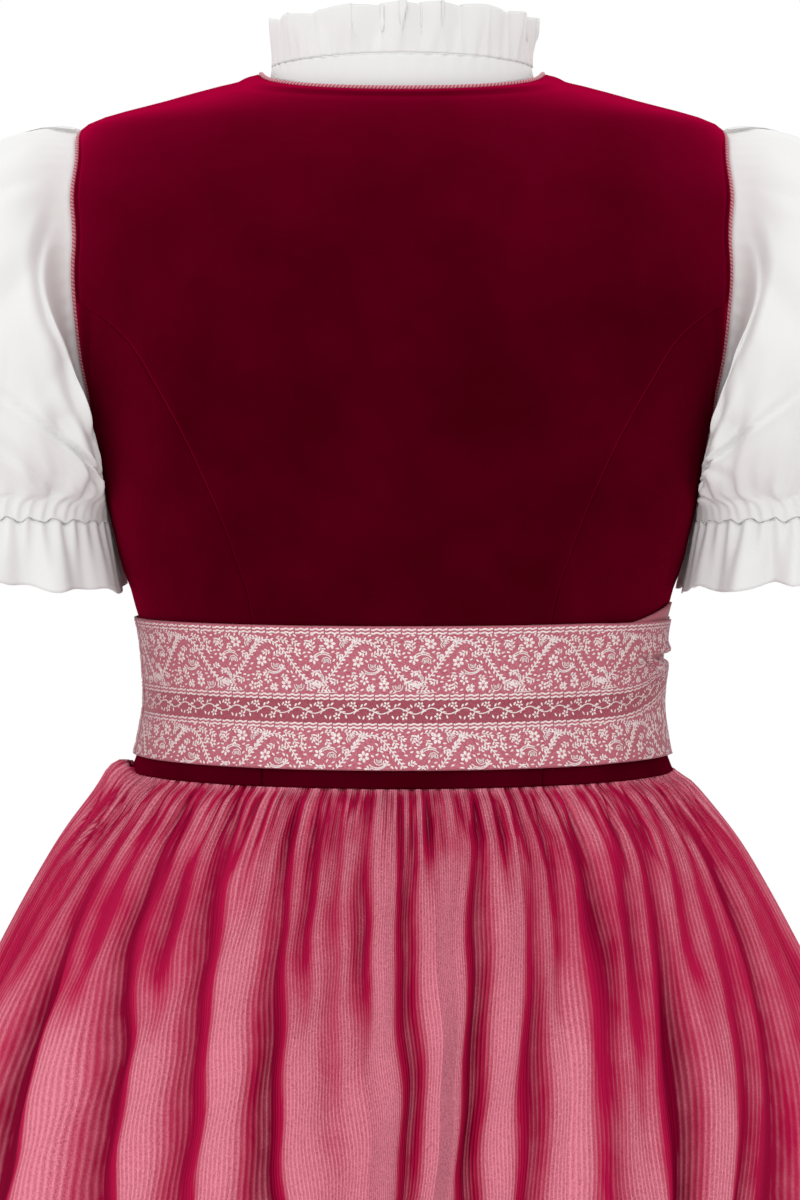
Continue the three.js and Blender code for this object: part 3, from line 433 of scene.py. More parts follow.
def apronSatin():
    g = Graph("apronSatin")
    y = g.parts(g.coords(uv=True))[1]
    furrowShade = g.attribute("furrowShade")
    weft = y.sine(apronLook["weftPitch"]) * 0.5 + 0.5
    speck = g.noise(g.coords(), 1500, 2)
    light = g.mix((speck * 2 - 0.5).clamped(), apronLook["lightFrom"], apronLook["lightTo"])
    # painted shade: the furrows are painted darker
    dark = g.mix(furrowShade.clamped(), apronLook["dark"], apronLook["deep"])
    normal = g.bump(weft, 0.12, 0.0002)
    faceOn = g.cloth(light, normal, Roughness=0.5, Sheen_Weight=0.2)
    oblique = g.cloth(dark, normal, Roughness=0.45)
    # painted shade: the furrows also lean towards the dark shader
    return g.finish(g.blend((g.facing(0.5) * 1.3 + furrowShade * 3.4 - 1.6).clamped(), faceOn, oblique))


ribbonLook = {"ground": (0.40, 0.050, 0.088), "groundLight": (0.61, 0.19, 0.25),
              "vineDarkAndShade": (0.27, 0.016, 0.042), "vineLight": (0.42, 0.085, 0.12),
              "threadDark": (0.78, 0.56, 0.57), "threadLight": (1.0, 0.95, 0.92),
              "threadTurnedShade": (0.40, 0.17, 0.20), "weave": 0.7}


def ribbonGround():
    g = Graph("ribbonGround")
    x, y = g.parts(g.coords(uv=True))[:2]
    warp = x.sine(ribbonLook["weave"])
    weft = y.sine(ribbonLook["weave"])
    weave = (warp * weft) * 0.5 + 0.5
    fleck = g.noise(g.coords(), 1300, 2)
    vine = g.attribute("vine")
    flecked = (fleck * 2.4 - 0.7).clamped()
    base = g.mix(flecked, ribbonLook["ground"], ribbonLook["groundLight"])
    deep = g.mix(flecked, ribbonLook["vineDarkAndShade"], ribbonLook["vineLight"])
    # painted shade: the ribbon is painted darker, towards the vine's dark red, where it turns away from the
    # eye
    tone = g.mix((g.facing(0.5) * 1.2).clamped(), g.mix(vine, base, deep), ribbonLook["vineDarkAndShade"])
    return g.finish(g.cloth(tone, g.bump(weave, 0.35, 0.0002), Roughness=0.6, Sheen_Weight=0.2))


def ribbonThread():
    g = Graph("ribbonThread")
    fleck = g.noise(g.coords(), 900, 2)
    thread = g.mix((fleck * 2.2 - 0.5).clamped(), ribbonLook["threadDark"], ribbonLook["threadLight"])
    # painted shade: the threads are painted darker where the ribbon turns away from the eye
    tone = g.mix((g.facing(0.5) * 1.15).clamped(), thread, ribbonLook["threadTurnedShade"])
    return g.finish(g.cloth(tone, g.bump(fleck, 0.3, 0.0002), Roughness=0.55, Sheen_Weight=0.3))


cottonLook = {"shade": (0.815, 0.812, 0.805), "light": (0.845, 0.842, 0.835)}
silverLook = {"worn": (0.10, 0.085, 0.075), "bright": (0.55, 0.50, 0.46)}


def cotton():
    g = Graph("cotton")
    place = g.coords()
    weave = g.noise(place, 1500, 1)
    soft = g.noise(place, 22, 3)
    tone = g.mix(soft.clamped(), cottonLook["shade"], cottonLook["light"])
    return g.finish(g.cloth(tone, g.bump(weave, 0.12, 0.0003), Roughness=0.85, Sheen_Weight=0.15,
                            Specular_IOR_Level=0.2))


def oldSilver():
    g = Graph("oldSilver")
    wear = g.noise(g.coords(), 420, 4)
    tone = g.mix((wear * 2 - 0.5).clamped(), silverLook["worn"], silverLook["bright"])
    return g.finish(g.cloth(tone, g.bump(wear, 0.3, 0.0003), Roughness=0.38, Metallic=0.9))


looks = {"velvet": velvet(), "piping": pipingCord(), "satin": skirtSatin(), "apron": apronSatin(),
         "ribbon": ribbonGround(), "thread": ribbonThread(), "cotton": cotton(), "metal": oldSilver()}
print("materials made")


# Bodice


arcShare = 0.8  # a panel's real width as a share of its angle times the form's half width


def edgeRoll(distance, width=2.0, depth=0.3):
    # cloth turns in towards a seam over its last two millimetres
    return -depth * np.clip(1 - distance / width, 0, 1) ** 2


def stitchGroove(distance, at=4.4, width=0.9, depth=0.55):
    # a line of stitches beside the edge, with the cloth raised between the two
    return 0.45 * bell(distance - at * 0.5, at * 0.25) - depth * bell(distance - at, width)


backPanel = {"across": 96, "down": 110, "cornerRow": 44, "cut": (372, 398), "drag": 0.9}


def backEdgeAngle(z):
    upper = armholeAngle("back", z)
    lower = princessAngle("back", z)
    shoulder = bodiceEdges["tip"]
    return np.where(z > shoulder, 90, np.where(z > bodiceEdges["princessTop"], upper, lower))


def backPanelRow(v):
    # rows lie closer at both ends and at the corner where the princess seam meets the armhole
    corner = bodiceEdges["princessTop"] / bodiceEdges["waist"]
    split = backPanel["cornerRow"] / backPanel["down"]
    above = closerAtEdges(np.clip(v / split, 0, 1)) * corner
    below = closerAtEdges(np.clip((v - split) / (1 - split), 0, 1)) * (1 - corner)
    return above + below


def backPanelPlace(u, v):
    u = closerAtEdges(u)
    v = backPanelRow(v)
    edgeZ = bodiceEdges["waist"] * v
    across = 2 * u - 1
    dip = bodiceEdges["napeDrop"] * np.cos(np.radians(across * 90)) ** 2 * (1 - v)
    return across * (backEdgeAngle(edgeZ) - seamAngle(edgeZ)), edgeZ - dip, edgeZ, across


def backPanelSurface(u, v):
    degrees, z, edgeZ, across = backPanelPlace(u, v)
    sideways = np.radians(backEdgeAngle(edgeZ)) * bodyHalf(edgeZ) * (1 - np.abs(across)) * arcShare
    fromNeck = backPanelRow(v) * -bodiceEdges["waist"]
    lift = edgeRoll(sideways) + edgeRoll(fromNeck)
    armhole = between(edgeZ, bodiceEdges["princessTop"] - 4, bodiceEdges["princessTop"] + 6)
    lift = lift + stitchGroove(sideways) * armhole + stitchGroove(fromNeck)
    drag = between(z, -230, -300) * (1 - between(z, -330, -380))
    lift = lift + drag * backPanel["drag"] * wobble(z / 9 + degrees / 40, 2) * 0.5
    lift = lift + 0.5 * wobble(degrees / 14 + z / 60, 5) * between(z, -60, -140)
    return bodyOffset(degrees, z, lift)


def sidePanelSurface(face):
    def surface(u, v):
        u = closerAtEdges(u)
        v = closerAtEdges(v)
        top = lerp(bodiceEdges["princessTop"], bodiceEdges["underarm"], u)
        innerZ = lerp(bodiceEdges["princessTop"], bodiceEdges["waist"], v)
        outerZ = lerp(bodiceEdges["underarm"], bodiceEdges["waist"], v)
        z = lerp(innerZ, outerZ, u)
        start = princessAngle(face, np.array(float(bodiceEdges["princessTop"])))
        bow = (armholeAngle(face, top) - lerp(start, 90, u)) * (1 - v)
        degrees = lerp(princessAngle(face, innerZ), 90, u) + bow + lerp(1, -1, u) * seamAngle(z)
        width = np.radians(90 - princessAngle(face, innerZ)) * bodyHalf(z) * arcShare
        lift = edgeRoll(u * width) + edgeRoll((1 - u) * width)
        depth = v * (bodiceEdges["princessTop"] - bodiceEdges["waist"])
        lift = lift + edgeRoll(depth) + stitchGroove(depth)
        lift = lift + 0.5 * wobble(z / 11 + u * 2, 3) * between(z, -230, -290)
        return bodyOffset(degrees if face == "back" else 180 - degrees, z, lift)

    return surface


def frontPanelSurface(u, v):
    u = closerAtEdges(u)
    below = frontNeck["rowsBelow"]
    place = np.linspace(0, 1, len(frontNeck["innerX"]) + below)
    lowerInner = np.linspace(frontNeck["belowInner"], bodiceEdges["waist"], below)
    lowerOuter = np.linspace(frontNeck["belowOuter"], bodiceEdges["waist"], below)
    innerX = np.interp(v, place, frontNeck["innerX"] + [0] * below)
    innerZ = np.interp(v, place, frontNeck["innerZ"] + list(lowerInner))
    outerZ = np.interp(v, place, frontNeck["outerZ"] + list(lowerOuter))
    armhole = armholeAngle("front", outerZ)
    edge = np.where(outerZ > bodiceEdges["princessTop"], armhole, princessAngle("front", outerZ))
    inner = np.where(innerX > 0.01, angleOfSide(innerX, innerZ), seamAngle(innerZ))
    degrees = lerp(inner, edge - seamAngle(outerZ), u)
    z = lerp(innerZ, outerZ, u)
    width = np.radians(np.maximum(edge - inner, 4)) * bodyHalf(z) * arcShare
    lift = edgeRoll(u * width) + edgeRoll((1 - u) * width) + stitchGroove(u * width)
    lift = lift + 0.5 * wobble(z / 12 + degrees / 20, 7) * between(z, -220, -290)
    return bodyOffset(180 - degrees, z, lift)


def makeBodice():
    material = looks["velvet"]
    wall = bodiceEdges["wall"]
    clothPiece("velvetBack", backPanelSurface, backPanel["across"], backPanel["down"], backPanel["cut"],
               material, ["bodice_back"], wall)
    for side, sign in sides.items():
        for face in ("back", "front"):
            clothPiece(f"velvetSide{face.title()}{side.title()}", sidePanelSurface(face), 30, 64, (112, 262),
                       material, [f"bodice_side_{face}_{side}"], wall, mirror=sign)
        clothPiece(f"velvetFront{side.title()}", frontPanelSurface, 40, 84, (150, 400), material,
                   [f"bodice_front_{side}"], wall, mirror=sign)


# Cords of piping

pipingSizes = {"radius": 1.3, "gap": 0.25, "sides": 10, "armholeSteps": 160}


def cordPiece(name, centres, acrosses, nodes, closed):
    radius = pipingSizes["radius"]
    centres = np.array(centres) * mm
    count = len(centres)
    ahead = np.roll(centres, -1, 0) if closed else np.vstack([centres[1:], centres[-1:]])
    behind = np.roll(centres, 1, 0) if closed else np.vstack([centres[:1], centres[:-1]])
    tangents = unit(ahead - behind)
    third = unit(np.cross(tangents, np.array(acrosses)))
    first = np.cross(third, tangents)
    lengths = runLengths(centres)
    bm = bmesh.new()
    segments = count if closed else count - 1
    bmesh.ops.create_grid(bm, x_segments=segments, y_segments=pipingSizes["sides"], size=0.5)
    uvLayer = bm.loops.layers.uv.new("UVMap")
    flat = np.array([vert.co[:2] for vert in bm.verts]) + 0.5
    step = np.rint(flat[:, 0] * segments).astype(int)
    turn = flat[:, 1] * 2 * math.pi
    ring = step % count
    points = (centres[ring] + first[ring] * (np.cos(turn) * radius * mm)[:, None]
              + third[ring] * (np.sin(turn) * radius * mm)[:, None])
    along = np.append(lengths, lengths[-1] + np.linalg.norm(centres[0] - centres[-1]))
    for face in bm.faces:
        for loop in face.loops:
            i = loop.vert.index
            loop[uvLayer].uv = (along[step[i]], flat[i, 1])
    for i, vert in enumerate(bm.verts):
        vert.co = points[i]
    bmesh.ops.remove_doubles(bm, verts=bm.verts, dist=1e-6)
    bmesh.ops.holes_fill(bm, edges=[edge for edge in bm.edges if edge.is_boundary], sides=0)
    bmesh.ops.recalc_face_normals(bm, faces=bm.faces)
    joinPart(finishObject(bm, name, [looks["piping"]]), nodes)


def edgeCord(degrees, z, closed, beyond):
    # centres of a cord that lies just beyond a panel's edge
    normal = bodyNormal(degrees, z)
    points = bodyPoint(degrees, z)
    if closed:
        along = np.roll(points, -1, 0) - np.roll(points, 1, 0)
    else:
        along = np.gradient(points, axis=0)
    across = unit(np.cross(along, normal)) * beyond
    away = pipingSizes["gap"] + pipingSizes["radius"]
    return points + across * away - normal * bodiceEdges["wall"] * 0.35, across


def armholeEdge(u):
    turn = 2 * math.pi * u
    tip, low = bodiceEdges["tip"], bodiceEdges["underarm"]
    z = (tip + low) / 2 + (tip - low) / 2 * np.cos(turn)
    return np.where(np.sin(turn) >= 0, armholeAngle("back", z), 180 - armholeAngle("front", z)), z


def necklineRun():
    innerX = np.array(frontNeck["innerX"][1:], float)
    innerZ = np.array(frontNeck["innerZ"][1:], float)
    innerX[-1] = 2.0
    fine = np.linspace(0, 1, 60)
    rows = np.linspace(0, 1, len(innerX))
    x = np.interp(fine, rows, innerX)
    z = np.interp(fine, rows, innerZ)
    front = 180 - angleOfSide(x, z)
    backAngles = np.linspace(90, -90, 121)
    backZ = -bodiceEdges["napeDrop"] * np.cos(np.radians(backAngles)) ** 2
    degrees = np.concatenate([front[::-1], backAngles, -front])
    return degrees, np.concatenate([z[::-1], backZ, z])


def makePiping():
    centres, acrosses = edgeCord(*necklineRun(), False, -1)
    cordPiece("pipingNeck", centres, acrosses, ["piping_neckline"], False)
    degrees, z = armholeEdge(np.linspace(0, 1, pipingSizes["armholeSteps"], endpoint=False))
    centres, acrosses = edgeCord(degrees, z, True, 1)
    for side, sign in sides.items():
        flip = np.array([sign, 1, 1])
        cordPiece(f"pipingArmhole{side.title()}", centres * flip, acrosses * flip, [f"piping_armhole_{side}"],
                  True)


# Skirt and apron

skirtSizes = {
    "z": [-378, -387, -394, -405, -427, -450, -483, -528, -600, -700, -800, -950, -1087],
    "half": [151, 153.5, 163, 173, 190, 204, 222, 245, 276, 312, 343, 378, 400],
    "back": [103.5, 105.5, 118, 128, 143, 157, 174, 195, 225, 262, 293, 328, 350],
    "front": [109.5, 111.5, 120, 128, 141, 152, 167, 188, 219, 256, 288, 324, 347],
    "seam": -387.3, "hem": -1087, "wall": 1.2,
}
# furrows of the back between its folds: angle and depth at four heights
furrowHeights = [-412, -461, -528, -600]
furrowAngles = [
    [78, 84, 85.5, 86], [69.5, 77, 78, 76], [64, 67, 70, 66], [58.5, 59.5, 58, 54], [51.5, 52, 50, 45],
    [45, 45, 39, 35], [37.6, 38, 33, 30], [32.7, 31, 26.6, 25], [24.5, 24, 21.5, 20.5],
    [20.5, 18, 16.6, 14.9], [15, 14, 12.2, 11], [11, 10, 8.6, 7.5], [6.6, 5.8, 4.5, 4],
    [2.4, 2.2, 2, 2], [-1.4, -0.6, -0.4, 0.3], [-5.2, -5, -4, -3.4], [-9.4, -7.4, -5.6, -5],
    [-13.5, -10.4, -8, -7], [-18, -15.2, -12, -10], [-22.5, -19, -16.5, -13.4],
    [-26.6, -23.4, -20.5, -17.5], [-31.5, -31, -27, -24.6], [-40.2, -36.4, -31.6, -28],
    [-46.5, -42, -37.5, -32], [-53.5, -48.4, -43.5, -35.5], [-58.8, -54.6, -48.6, -39.5],
    [-64, -62, -55, -45.5], [-71, -70, -64, -56], [-78, -79, -76, -72],
]
furrowDepths = [
    [3, 5, 7, 9], [3, 5, 8, 10], [3, 3, 1, 0], [3.5, 7, 12, 11], [3, 5, 1, 0], [5, 8.5, 10, 9],
    [3.5, 7, 1, 0], [5, 8, 8, 7], [3, 2, 0, 0], [4.5, 7, 10, 11], [5, 6, 1, 0], [4, 5, 4, 1],
    [4.5, 7, 2, 0], [2.5, 1, 0, 0], [4.5, 7, 8, 6], [4, 1.5, 0, 0], [3, 1, 0, 0], [5, 8, 9, 8],
    [3, 2, 0, 0], [4, 5, 8, 6], [3.5, 5, 0.5, 0], [5, 9, 6, 6], [4, 7, 4, 1], [4.5, 7, 12, 12],
    [3.5, 5, 2, 0.5], [3, 5, 7, 8], [5, 8, 8, 9], [3, 3, 3, 4], [3.5, 6, 8, 10],
]
gathers = {"depthScale": 1.35, "seamShare": 0.35, "sharpness": 3.6, "lowSharpness": 3.2, "pleats": 118,
           "pleatDepth": 3.6, "tucks": 74, "tuckDepth": 6.4, "tuckWidth": 0.25, "bend": 0.75, "sway": 2.5,
           "pleatsEnd": (-396, -436), "bendStarts": (-400, -470), "swayStarts": (-560, -900)}
# on the wearer's left the gathers stand up and out beside the ribbon's lower edge
sidePuff = {"at": 88, "spread": 12, "rise": 8, "crest": 2.5, "out": 1.6, "low": 3.4,
            "outEnds": (-396, -440), "lowEnds": (-480, -640)}


def tucksOf(start, end, count, seed):
    # angle, lean, depth, width and length of each small tuck under the seam
    dice = np.random.default_rng(seed)
    step = (end - start) / count
    places = start + step * (np.arange(count) + 0.5 + dice.uniform(-0.36, 0.36, count))
    return [(place, dice.uniform(-1, 1), dice.uniform(0.3, 1), dice.uniform(0.7, 1.5),
             12 + 66 * dice.random()**1.7) for place in places]


def tuckDepth(tucks, degrees, z, step):
    down = bodiceEdges["waist"] - z
    lift = 0 * z
    for place, lean, deep, wide, long in tucks:
        share = np.clip(down / long, 0, 1)
        centre = place * (1 - 0.0011 * down) + lean * step * 0.9 * share
        width = step * gathers["tuckWidth"] * wide * (0.8 + 0.7 * share)
        apart = np.abs(degrees - centre) / width
        fade = (1 - share) ** 0.8 * between(down, -1, 4 + 3 * wide)
        lift = lift + deep * fade * np.exp(-apart**1.25)
    return lift * gathers["tuckDepth"]


skirtHalf = curveOf(skirtSizes["z"], skirtSizes["half"])
skirtBack = curveOf(skirtSizes["z"], skirtSizes["back"])
skirtFront = curveOf(skirtSizes["z"], skirtSizes["front"])


def furrowCurves(angles, depths, edges):
    places = [curveOf(furrowHeights, row) for row in angles]
    deeps = [curveOf(furrowHeights, row) for row in depths]

    def read(u, z):
        held = np.clip(z, furrowHeights[-1], furrowHeights[0])
        where = np.stack([edges[0] + 0 * z] + [place(held) for place in places] + [edges[1] + 0 * z])
        depth = np.stack([0 * z] + [deep(held) for deep in deeps] + [0 * z])
        spot = np.clip(u, 0, 1) * (len(where) - 1)
        i = np.clip(spot.astype(int), 0, len(where) - 2)
        t = spot - i
        pick = np.arange(len(z))
        degrees = lerp(where[i, pick], where[i + 1, pick], t)
        sharp = lerp(gathers["lowSharpness"], gathers["sharpness"], between(z, -600, -430))
        left = depth[i, pick] * np.cos(t * math.pi / 2) ** sharp
        right = depth[i + 1, pick] * np.cos((1 - t) * math.pi / 2) ** sharp
        return degrees, left + right

    return read


def skirtPoint(degrees, z, lift):
    angle = np.radians(degrees)
    half = skirtHalf(z)
    depth = np.where(np.cos(angle) > 0, skirtBack(z), skirtFront(z))
    out = unit(np.stack([np.sin(angle) / half, np.cos(angle) / depth, 0 * angle], -1))
    return np.stack([half * np.sin(angle), depth * np.cos(angle), z], -1) + out * lift[:, None]


def evenFurrows(count, start, end, depths):
    angles = []
    deeps = []
    for i in range(count):
        inner = 0 < i < count - 1
        shift = 0.28 * math.sin(i * 2.4 + 0.7) * (end - start) / count if inner else 0
        angles.append([lerp(start, end, i / (count - 1)) + shift] * 4)
        deeps.append([d * (0.8 + 0.25 * math.sin(i * 1.9)) for d in depths])
    return angles, deeps


def gatheredPanel(name, angles, depths, edges, top, hem, liftOf, columnsPerFold, rowCount, cut, material,
                  nodes, pleats, scale, tuckUnder=0):
    read = furrowCurves(angles, depths, edges)
    columns = columnsPerFold * (len(angles) + 1)
    power = 1.65  # rows lie closer near the seam, where the gathers are
    low, high = min(edges), max(edges)
    count = int(gathers["tucks"] * (high - low) / 180 * scale / gathers["depthScale"])
    tucks = tucksOf(low + 1, high - 1, count, 11)

    def shape(u, v):
        z = lerp(top, hem, v**power)
        degrees, depth = read(u, z)
        bend = between(z, *gathers["bendStarts"]) * np.clip(1 - np.abs(2 * u - 1), 0, 0.1) * 10
        degrees = degrees + gathers["bend"] * bend * wobble(z / 42 + degrees / 8, 3)
        fade = lerp(gathers["seamShare"], 1, between(z, bodiceEdges["waist"], furrowHeights[0]))
        depth = depth * fade * scale
        pleatFade = 1 - between(z + 9 * wobble(degrees / 4, 9), *gathers["pleatsEnd"])
        pleat = 0.5 + 0.5 * np.sin(np.radians(degrees * pleats) + 2.2 * np.sin(np.radians(degrees * 11)))
        fine = gathers["pleatDepth"] * pleatFade * pleat**1.6 * (0.6 + 0.4 * wobble(degrees / 3.1, 2))
        sway = between(z, *gathers["swayStarts"]) * gathers["sway"] * wobble(degrees / 13 + z / 260, 4)
        small = tuckDepth(tucks, degrees, z, (high - low) / count)
        return z, degrees, depth + fine + small - np.minimum(sway, 0)

    def surface(u, v):
        z, degrees, inward = shape(u, v)
        near = bell(degrees - sidePuff["at"], sidePuff["spread"])
        down = skirtSizes["seam"] - z
        out = sidePuff["low"] * (1 - between(z, *sidePuff["lowEnds"]))
        out = out + sidePuff["out"] * (1 - between(z, *sidePuff["outEnds"]))
        lift = liftOf(z) - inward + near * out * between(down, 0, 5)
        lift = lift - tuckUnder * (1 - np.clip(np.minimum(u, 1 - u) * columns, 0, 1))
        points = skirtPoint(degrees, z, lift)
        below = np.maximum(down, 0) / sidePuff["crest"]
        points[:, 2] += near * sidePuff["rise"] * below * np.exp(1 - below)
        return points

    # painted shade: how much darker red the furrows are painted, from how deep they lie
    def furrowShadeMask(u, v):
        z, inward = shape(u, v)[::2]
        near = 1 - between(z, -395, -500)
        return np.clip((inward - 1.7 * near) / lerp(12, 7, near), 0, 1.2)

    # painted highlight: how much pinker the crests are painted, most of all just under the seam
    def crestHighlightMask(u, v):
        z, inward = shape(u, v)[::2]
        near = 1 - between(z, -392, -440)
        return (1 - np.clip(inward / lerp(3.5, 2.6, near), 0, 1)) * (1 + 1.1 * near)

    clothPiece(name, surface, columns, rowCount, cut, material, nodes,
               skirtSizes["wall"], attributes={"furrowShade": furrowShadeMask, "crest": crestHighlightMask})


apronSizes = {"hem": -1045, "top": -378.3, "sides": (106, 254), "liftTop": 1.6, "liftSeam": 3.2,
              "liftLow": 12.2, "overSeam": (-378, -386), "liftRun": 213}


def apronLift(z):
    overSeam = lerp(apronSizes["liftTop"], apronSizes["liftSeam"], between(z, *apronSizes["overSeam"]))
    share = np.clip((apronSizes["overSeam"][1] - z) / apronSizes["liftRun"], 0, 1)
    return overSeam + (apronSizes["liftLow"] - apronSizes["liftSeam"]) * share


def makeSkirt():
    gatheredPanel("skirtBack", furrowAngles, furrowDepths, (89.99, -89.99), skirtSizes["seam"],
                  skirtSizes["hem"], lambda z: 0 * z, 15, 92, (1300, 700), looks["satin"],
                  ["skirt_back"], gathers["pleats"], gathers["depthScale"])
    angles, depths = evenFurrows(17, 97, 263, [4, 6, 8, 9])
    # the front panel's side edges are tucked just under the back panel's
    gatheredPanel("skirtFront", angles, depths, (89.95, 270.05), skirtSizes["seam"], skirtSizes["hem"],
                  lambda z: 0 * z, 10, 50, (1300, 700), looks["satin"], ["skirt_front"],
                  gathers["pleats"], 1.0, tuckUnder=1.7)
    start, end = apronSizes["sides"]
    angles, depths = evenFurrows(17, start + 5, end - 5, [2.2, 4.5, 7, 8])
    gatheredPanel("apronPanel", angles, depths, apronSizes["sides"], apronSizes["top"], apronSizes["hem"],
                  apronLift, 10, 50, (1060, 667), looks["apron"], ["apron_panel"],
                  gathers["pleats"] * 0.7, 1.0)


# Ribbon round the waist, with its woven pattern

ribbonSizes = {"top": -301, "bottom": -378, "wall": 1.4, "offset": 0.9, "underOffset": 1.1, "underWall": 1.1,
               "layerGap": 0.8, "underFrom": -52, "join": 80, "joinGap": 0.3,
               "underRise": (-3, 9)}


def ribbonLift(degrees):
    under = (ribbonSizes["underOffset"] + ribbonSizes["underWall"] + ribbonSizes["layerGap"]
             - ribbonSizes["offset"])
    start = ribbonSizes["underFrom"]
    return ribbonSizes["offset"] + under * between(degrees, start + 10, start)


# creases that fan out from the pinch on the right: angle, height, rise per degree, spread in degrees,
# depth inwards and width
ribbonCreases = [
    {"at": -77, "z": -322, "rise": 0.05, "spread": 8.5, "depth": 5.4, "width": 1.7},
    {"at": -68, "z": -325, "rise": 0.75, "spread": 5, "depth": 2.6, "width": 1.5},
    {"at": -64, "z": -331, "rise": 0.42, "spread": 9, "depth": 1.3, "width": 1.9},
    {"at": -58, "z": -345, "rise": 0.55, "spread": 13, "depth": 1.1, "width": 2.2},
    {"at": -40, "z": -347, "rise": 0.22, "spread": 14, "depth": 0.9, "width": 2.6},
    {"at": 66, "z": -338, "rise": -0.2, "spread": 13, "depth": 0.7, "width": 2.4},
]
ribbonPull = {"at": -84, "spread": 17, "height": 17, "middle": 0.66, "puff": 2.6,
              "puffSpread": 16}


def ribbonHeight(degrees, v):
    # the pinch on the right draws the rows below it up towards itself
    near = bell(degrees - ribbonPull["at"], ribbonPull["spread"])
    middle = ribbonPull["middle"]
    share = np.where(v < middle, between(v, 0.22, middle), 1 - between(v, middle, 1))
    return lerp(ribbonSizes["top"], ribbonSizes["bottom"], v) + ribbonPull["height"] * near * share


def ribbonLayer(degrees, v, above=0):
    # a point of the ribbon's outer face, or one above it
    z = ribbonHeight(degrees, v)
    lift = ribbonLift(degrees) + ribbonSizes["wall"] + above
    lift = lift + 0.25 * wobble(degrees / 9, 3) * (1 - np.abs(2 * v - 1))
    puff = bell(degrees - ribbonPull["at"], ribbonPull["puffSpread"])
    puff = puff * np.sin(np.clip(v, 0, 1) * math.pi) ** 1.5
    lift = lift + ribbonPull["puff"] * puff
    for crease in ribbonCreases:
        line = crease["z"] + crease["rise"] * (degrees - crease["at"])
        near = bell(degrees - crease["at"], crease["spread"])
        width = crease["width"]
        lift = lift - crease["depth"] * near * bell(z - line, width)
        lift = lift + 0.35 * crease["depth"] * near * bell(z - line - 2.6 * width, 1.6 * width)
    return bodyOffset(degrees, z, lift)


def frontLayer(degrees, v, above=0):
    z = lerp(ribbonSizes["top"], ribbonSizes["bottom"], v)
    lift = ribbonSizes["offset"] + ribbonSizes["wall"] + above
    lift = lift + 0.25 * wobble(degrees / 9, 6) * (1 - np.abs(2 * v - 1))
    return bodyOffset(degrees, z, lift)


# heights of the woven bands as shares of the ribbon's height
ribbonBands = {"ladders": [0.034, 0.493, 0.694], "upper": (0.058, 0.47), "vine": (0.512, 0.676),
               "lower": (0.716, 1.0)}


def plainMask(u, v):
    return 0 * u


def vineMask(u, v):
    top, bottom = ribbonBands["vine"]
    return between(v, top - 0.006, top) * (1 - between(v, bottom, bottom + 0.006))


# The woven pattern is laid out flat in millimetres: x along the ribbon, y down from the top of its band.
scroll = {"repeat": 56, "scale": 0.945, "middle": 16, "swing": 12.6, "leafStep": 1.3, "leaf": (2.35, 1.1),
          "leafTilt": 46, "thread": 0.62, "fillTries": 2600, "fillApart": 1.55, "band": 35}
vine = {"repeat": 19, "scale": 0.945, "middle": 6.2, "swing": 1.7, "thread": 0.7, "leaf": (2.5, 1.15)}
ladder = {"segment": 8.0, "gap": 0.7, "apart": 1.9, "thread": 0.95, "wave": 0.34}
threadHeight = {"rim": 0.06, "crown": 0.34}

calmFields = ((29, 12.4), (1.6, 18.6), (57.6, 18.6))

scrollFlowers = [  # x, y, petals and their length
    (26, 15.5, 6, 3.3), (10.5, 5.2, 6, 3.3), (40.5, 28.8, 6, 3.2), (57, 14.2, 5, 2.9), (20, 29.8, 5, 2.7),
    (47.8, 10.2, 5, 2.4), (29.6, 26.0, 5, 2.6),
]
scrollRoses = [  # x, y, radius and the way its arcs open
    (34.5, 17.5, 2.7, 70), (18.6, 5.6, 2.6, 200), (8.2, 15.6, 2.6, 250), (48.2, 29.2, 2.9, 60),
    (4.6, 24.4, 2.0, 300),
]
scrollArcs = [  # x, y, radius, first and last direction
    (33.5, 16, 5.8, 25, 140), (33.2, 15.6, 7.0, 40, 120), (47.6, 28.6, 5.6, -80, 20), (18, 4.6, 5.4, -20, 80),
    (6.6, 17.2, 6.0, 205, 320), (6.4, 17.4, 7.2, 220, 300), (51, 9, 4.6, 120, 200),
]
scrollSprays = [  # x, y, direction, leaves and their spacing
    (0.6, 9.5, -95, 5, 1.9), (31.6, 32.5, -60, 4, 1.8), (14, 32.6, 175, 6, 1.9), (22, 33.6, 10, 5, 1.9),
    (35.6, 2.4, 15, 6, 1.8), (26, 2.2, 170, 4, 1.7), (52, 3.4, 60, 4, 1.6), (43.4, 33.2, 5, 4, 1.8),
    (2.5, 33.2, -5, 5, 1.8), (22.5, 21.5, 60, 4, 1.6), (37.4, 24.4, 10, 4, 1.6), (60.6, 6.2, 60, 4, 1.6),
    (13.4, 10.8, 35, 4, 1.6), (31, 9.4, 150, 4, 1.6), (50.6, 20.6, -35, 4, 1.5), (44.2, 3.0, 40, 5, 1.7),
    (30.2, 22.6, 185, 3, 1.5), (14.6, 25.6, 150, 4, 1.6), (24.4, 26.4, 95, 4, 1.6), (58.6, 21.2, 160, 3, 1.5),
    (52.6, 31.8, -30, 5, 1.8), (35.6, 31.4, 200, 4, 1.7), (9.4, 29.4, 185, 5, 1.8), (54.6, 26.6, 20, 4, 1.7),
    (42.0, 6.2, 60, 4, 1.7), (24.0, 5.0, -35, 4, 1.6), (14.6, 1.6, 10, 5, 1.8), (3.6, 2.2, 0, 4, 1.8),
    (33.6, 12.6, -30, 4, 1.6), (20.4, 11.6, -70, 3, 1.6), (4.2, 19.8, 120, 3, 1.6), (37.8, 21.0, -60, 3, 1.5),
]


def stepFrom(x, y, degrees, length):
    return x + length * math.cos(math.radians(degrees)), y + length * math.sin(math.radians(degrees))


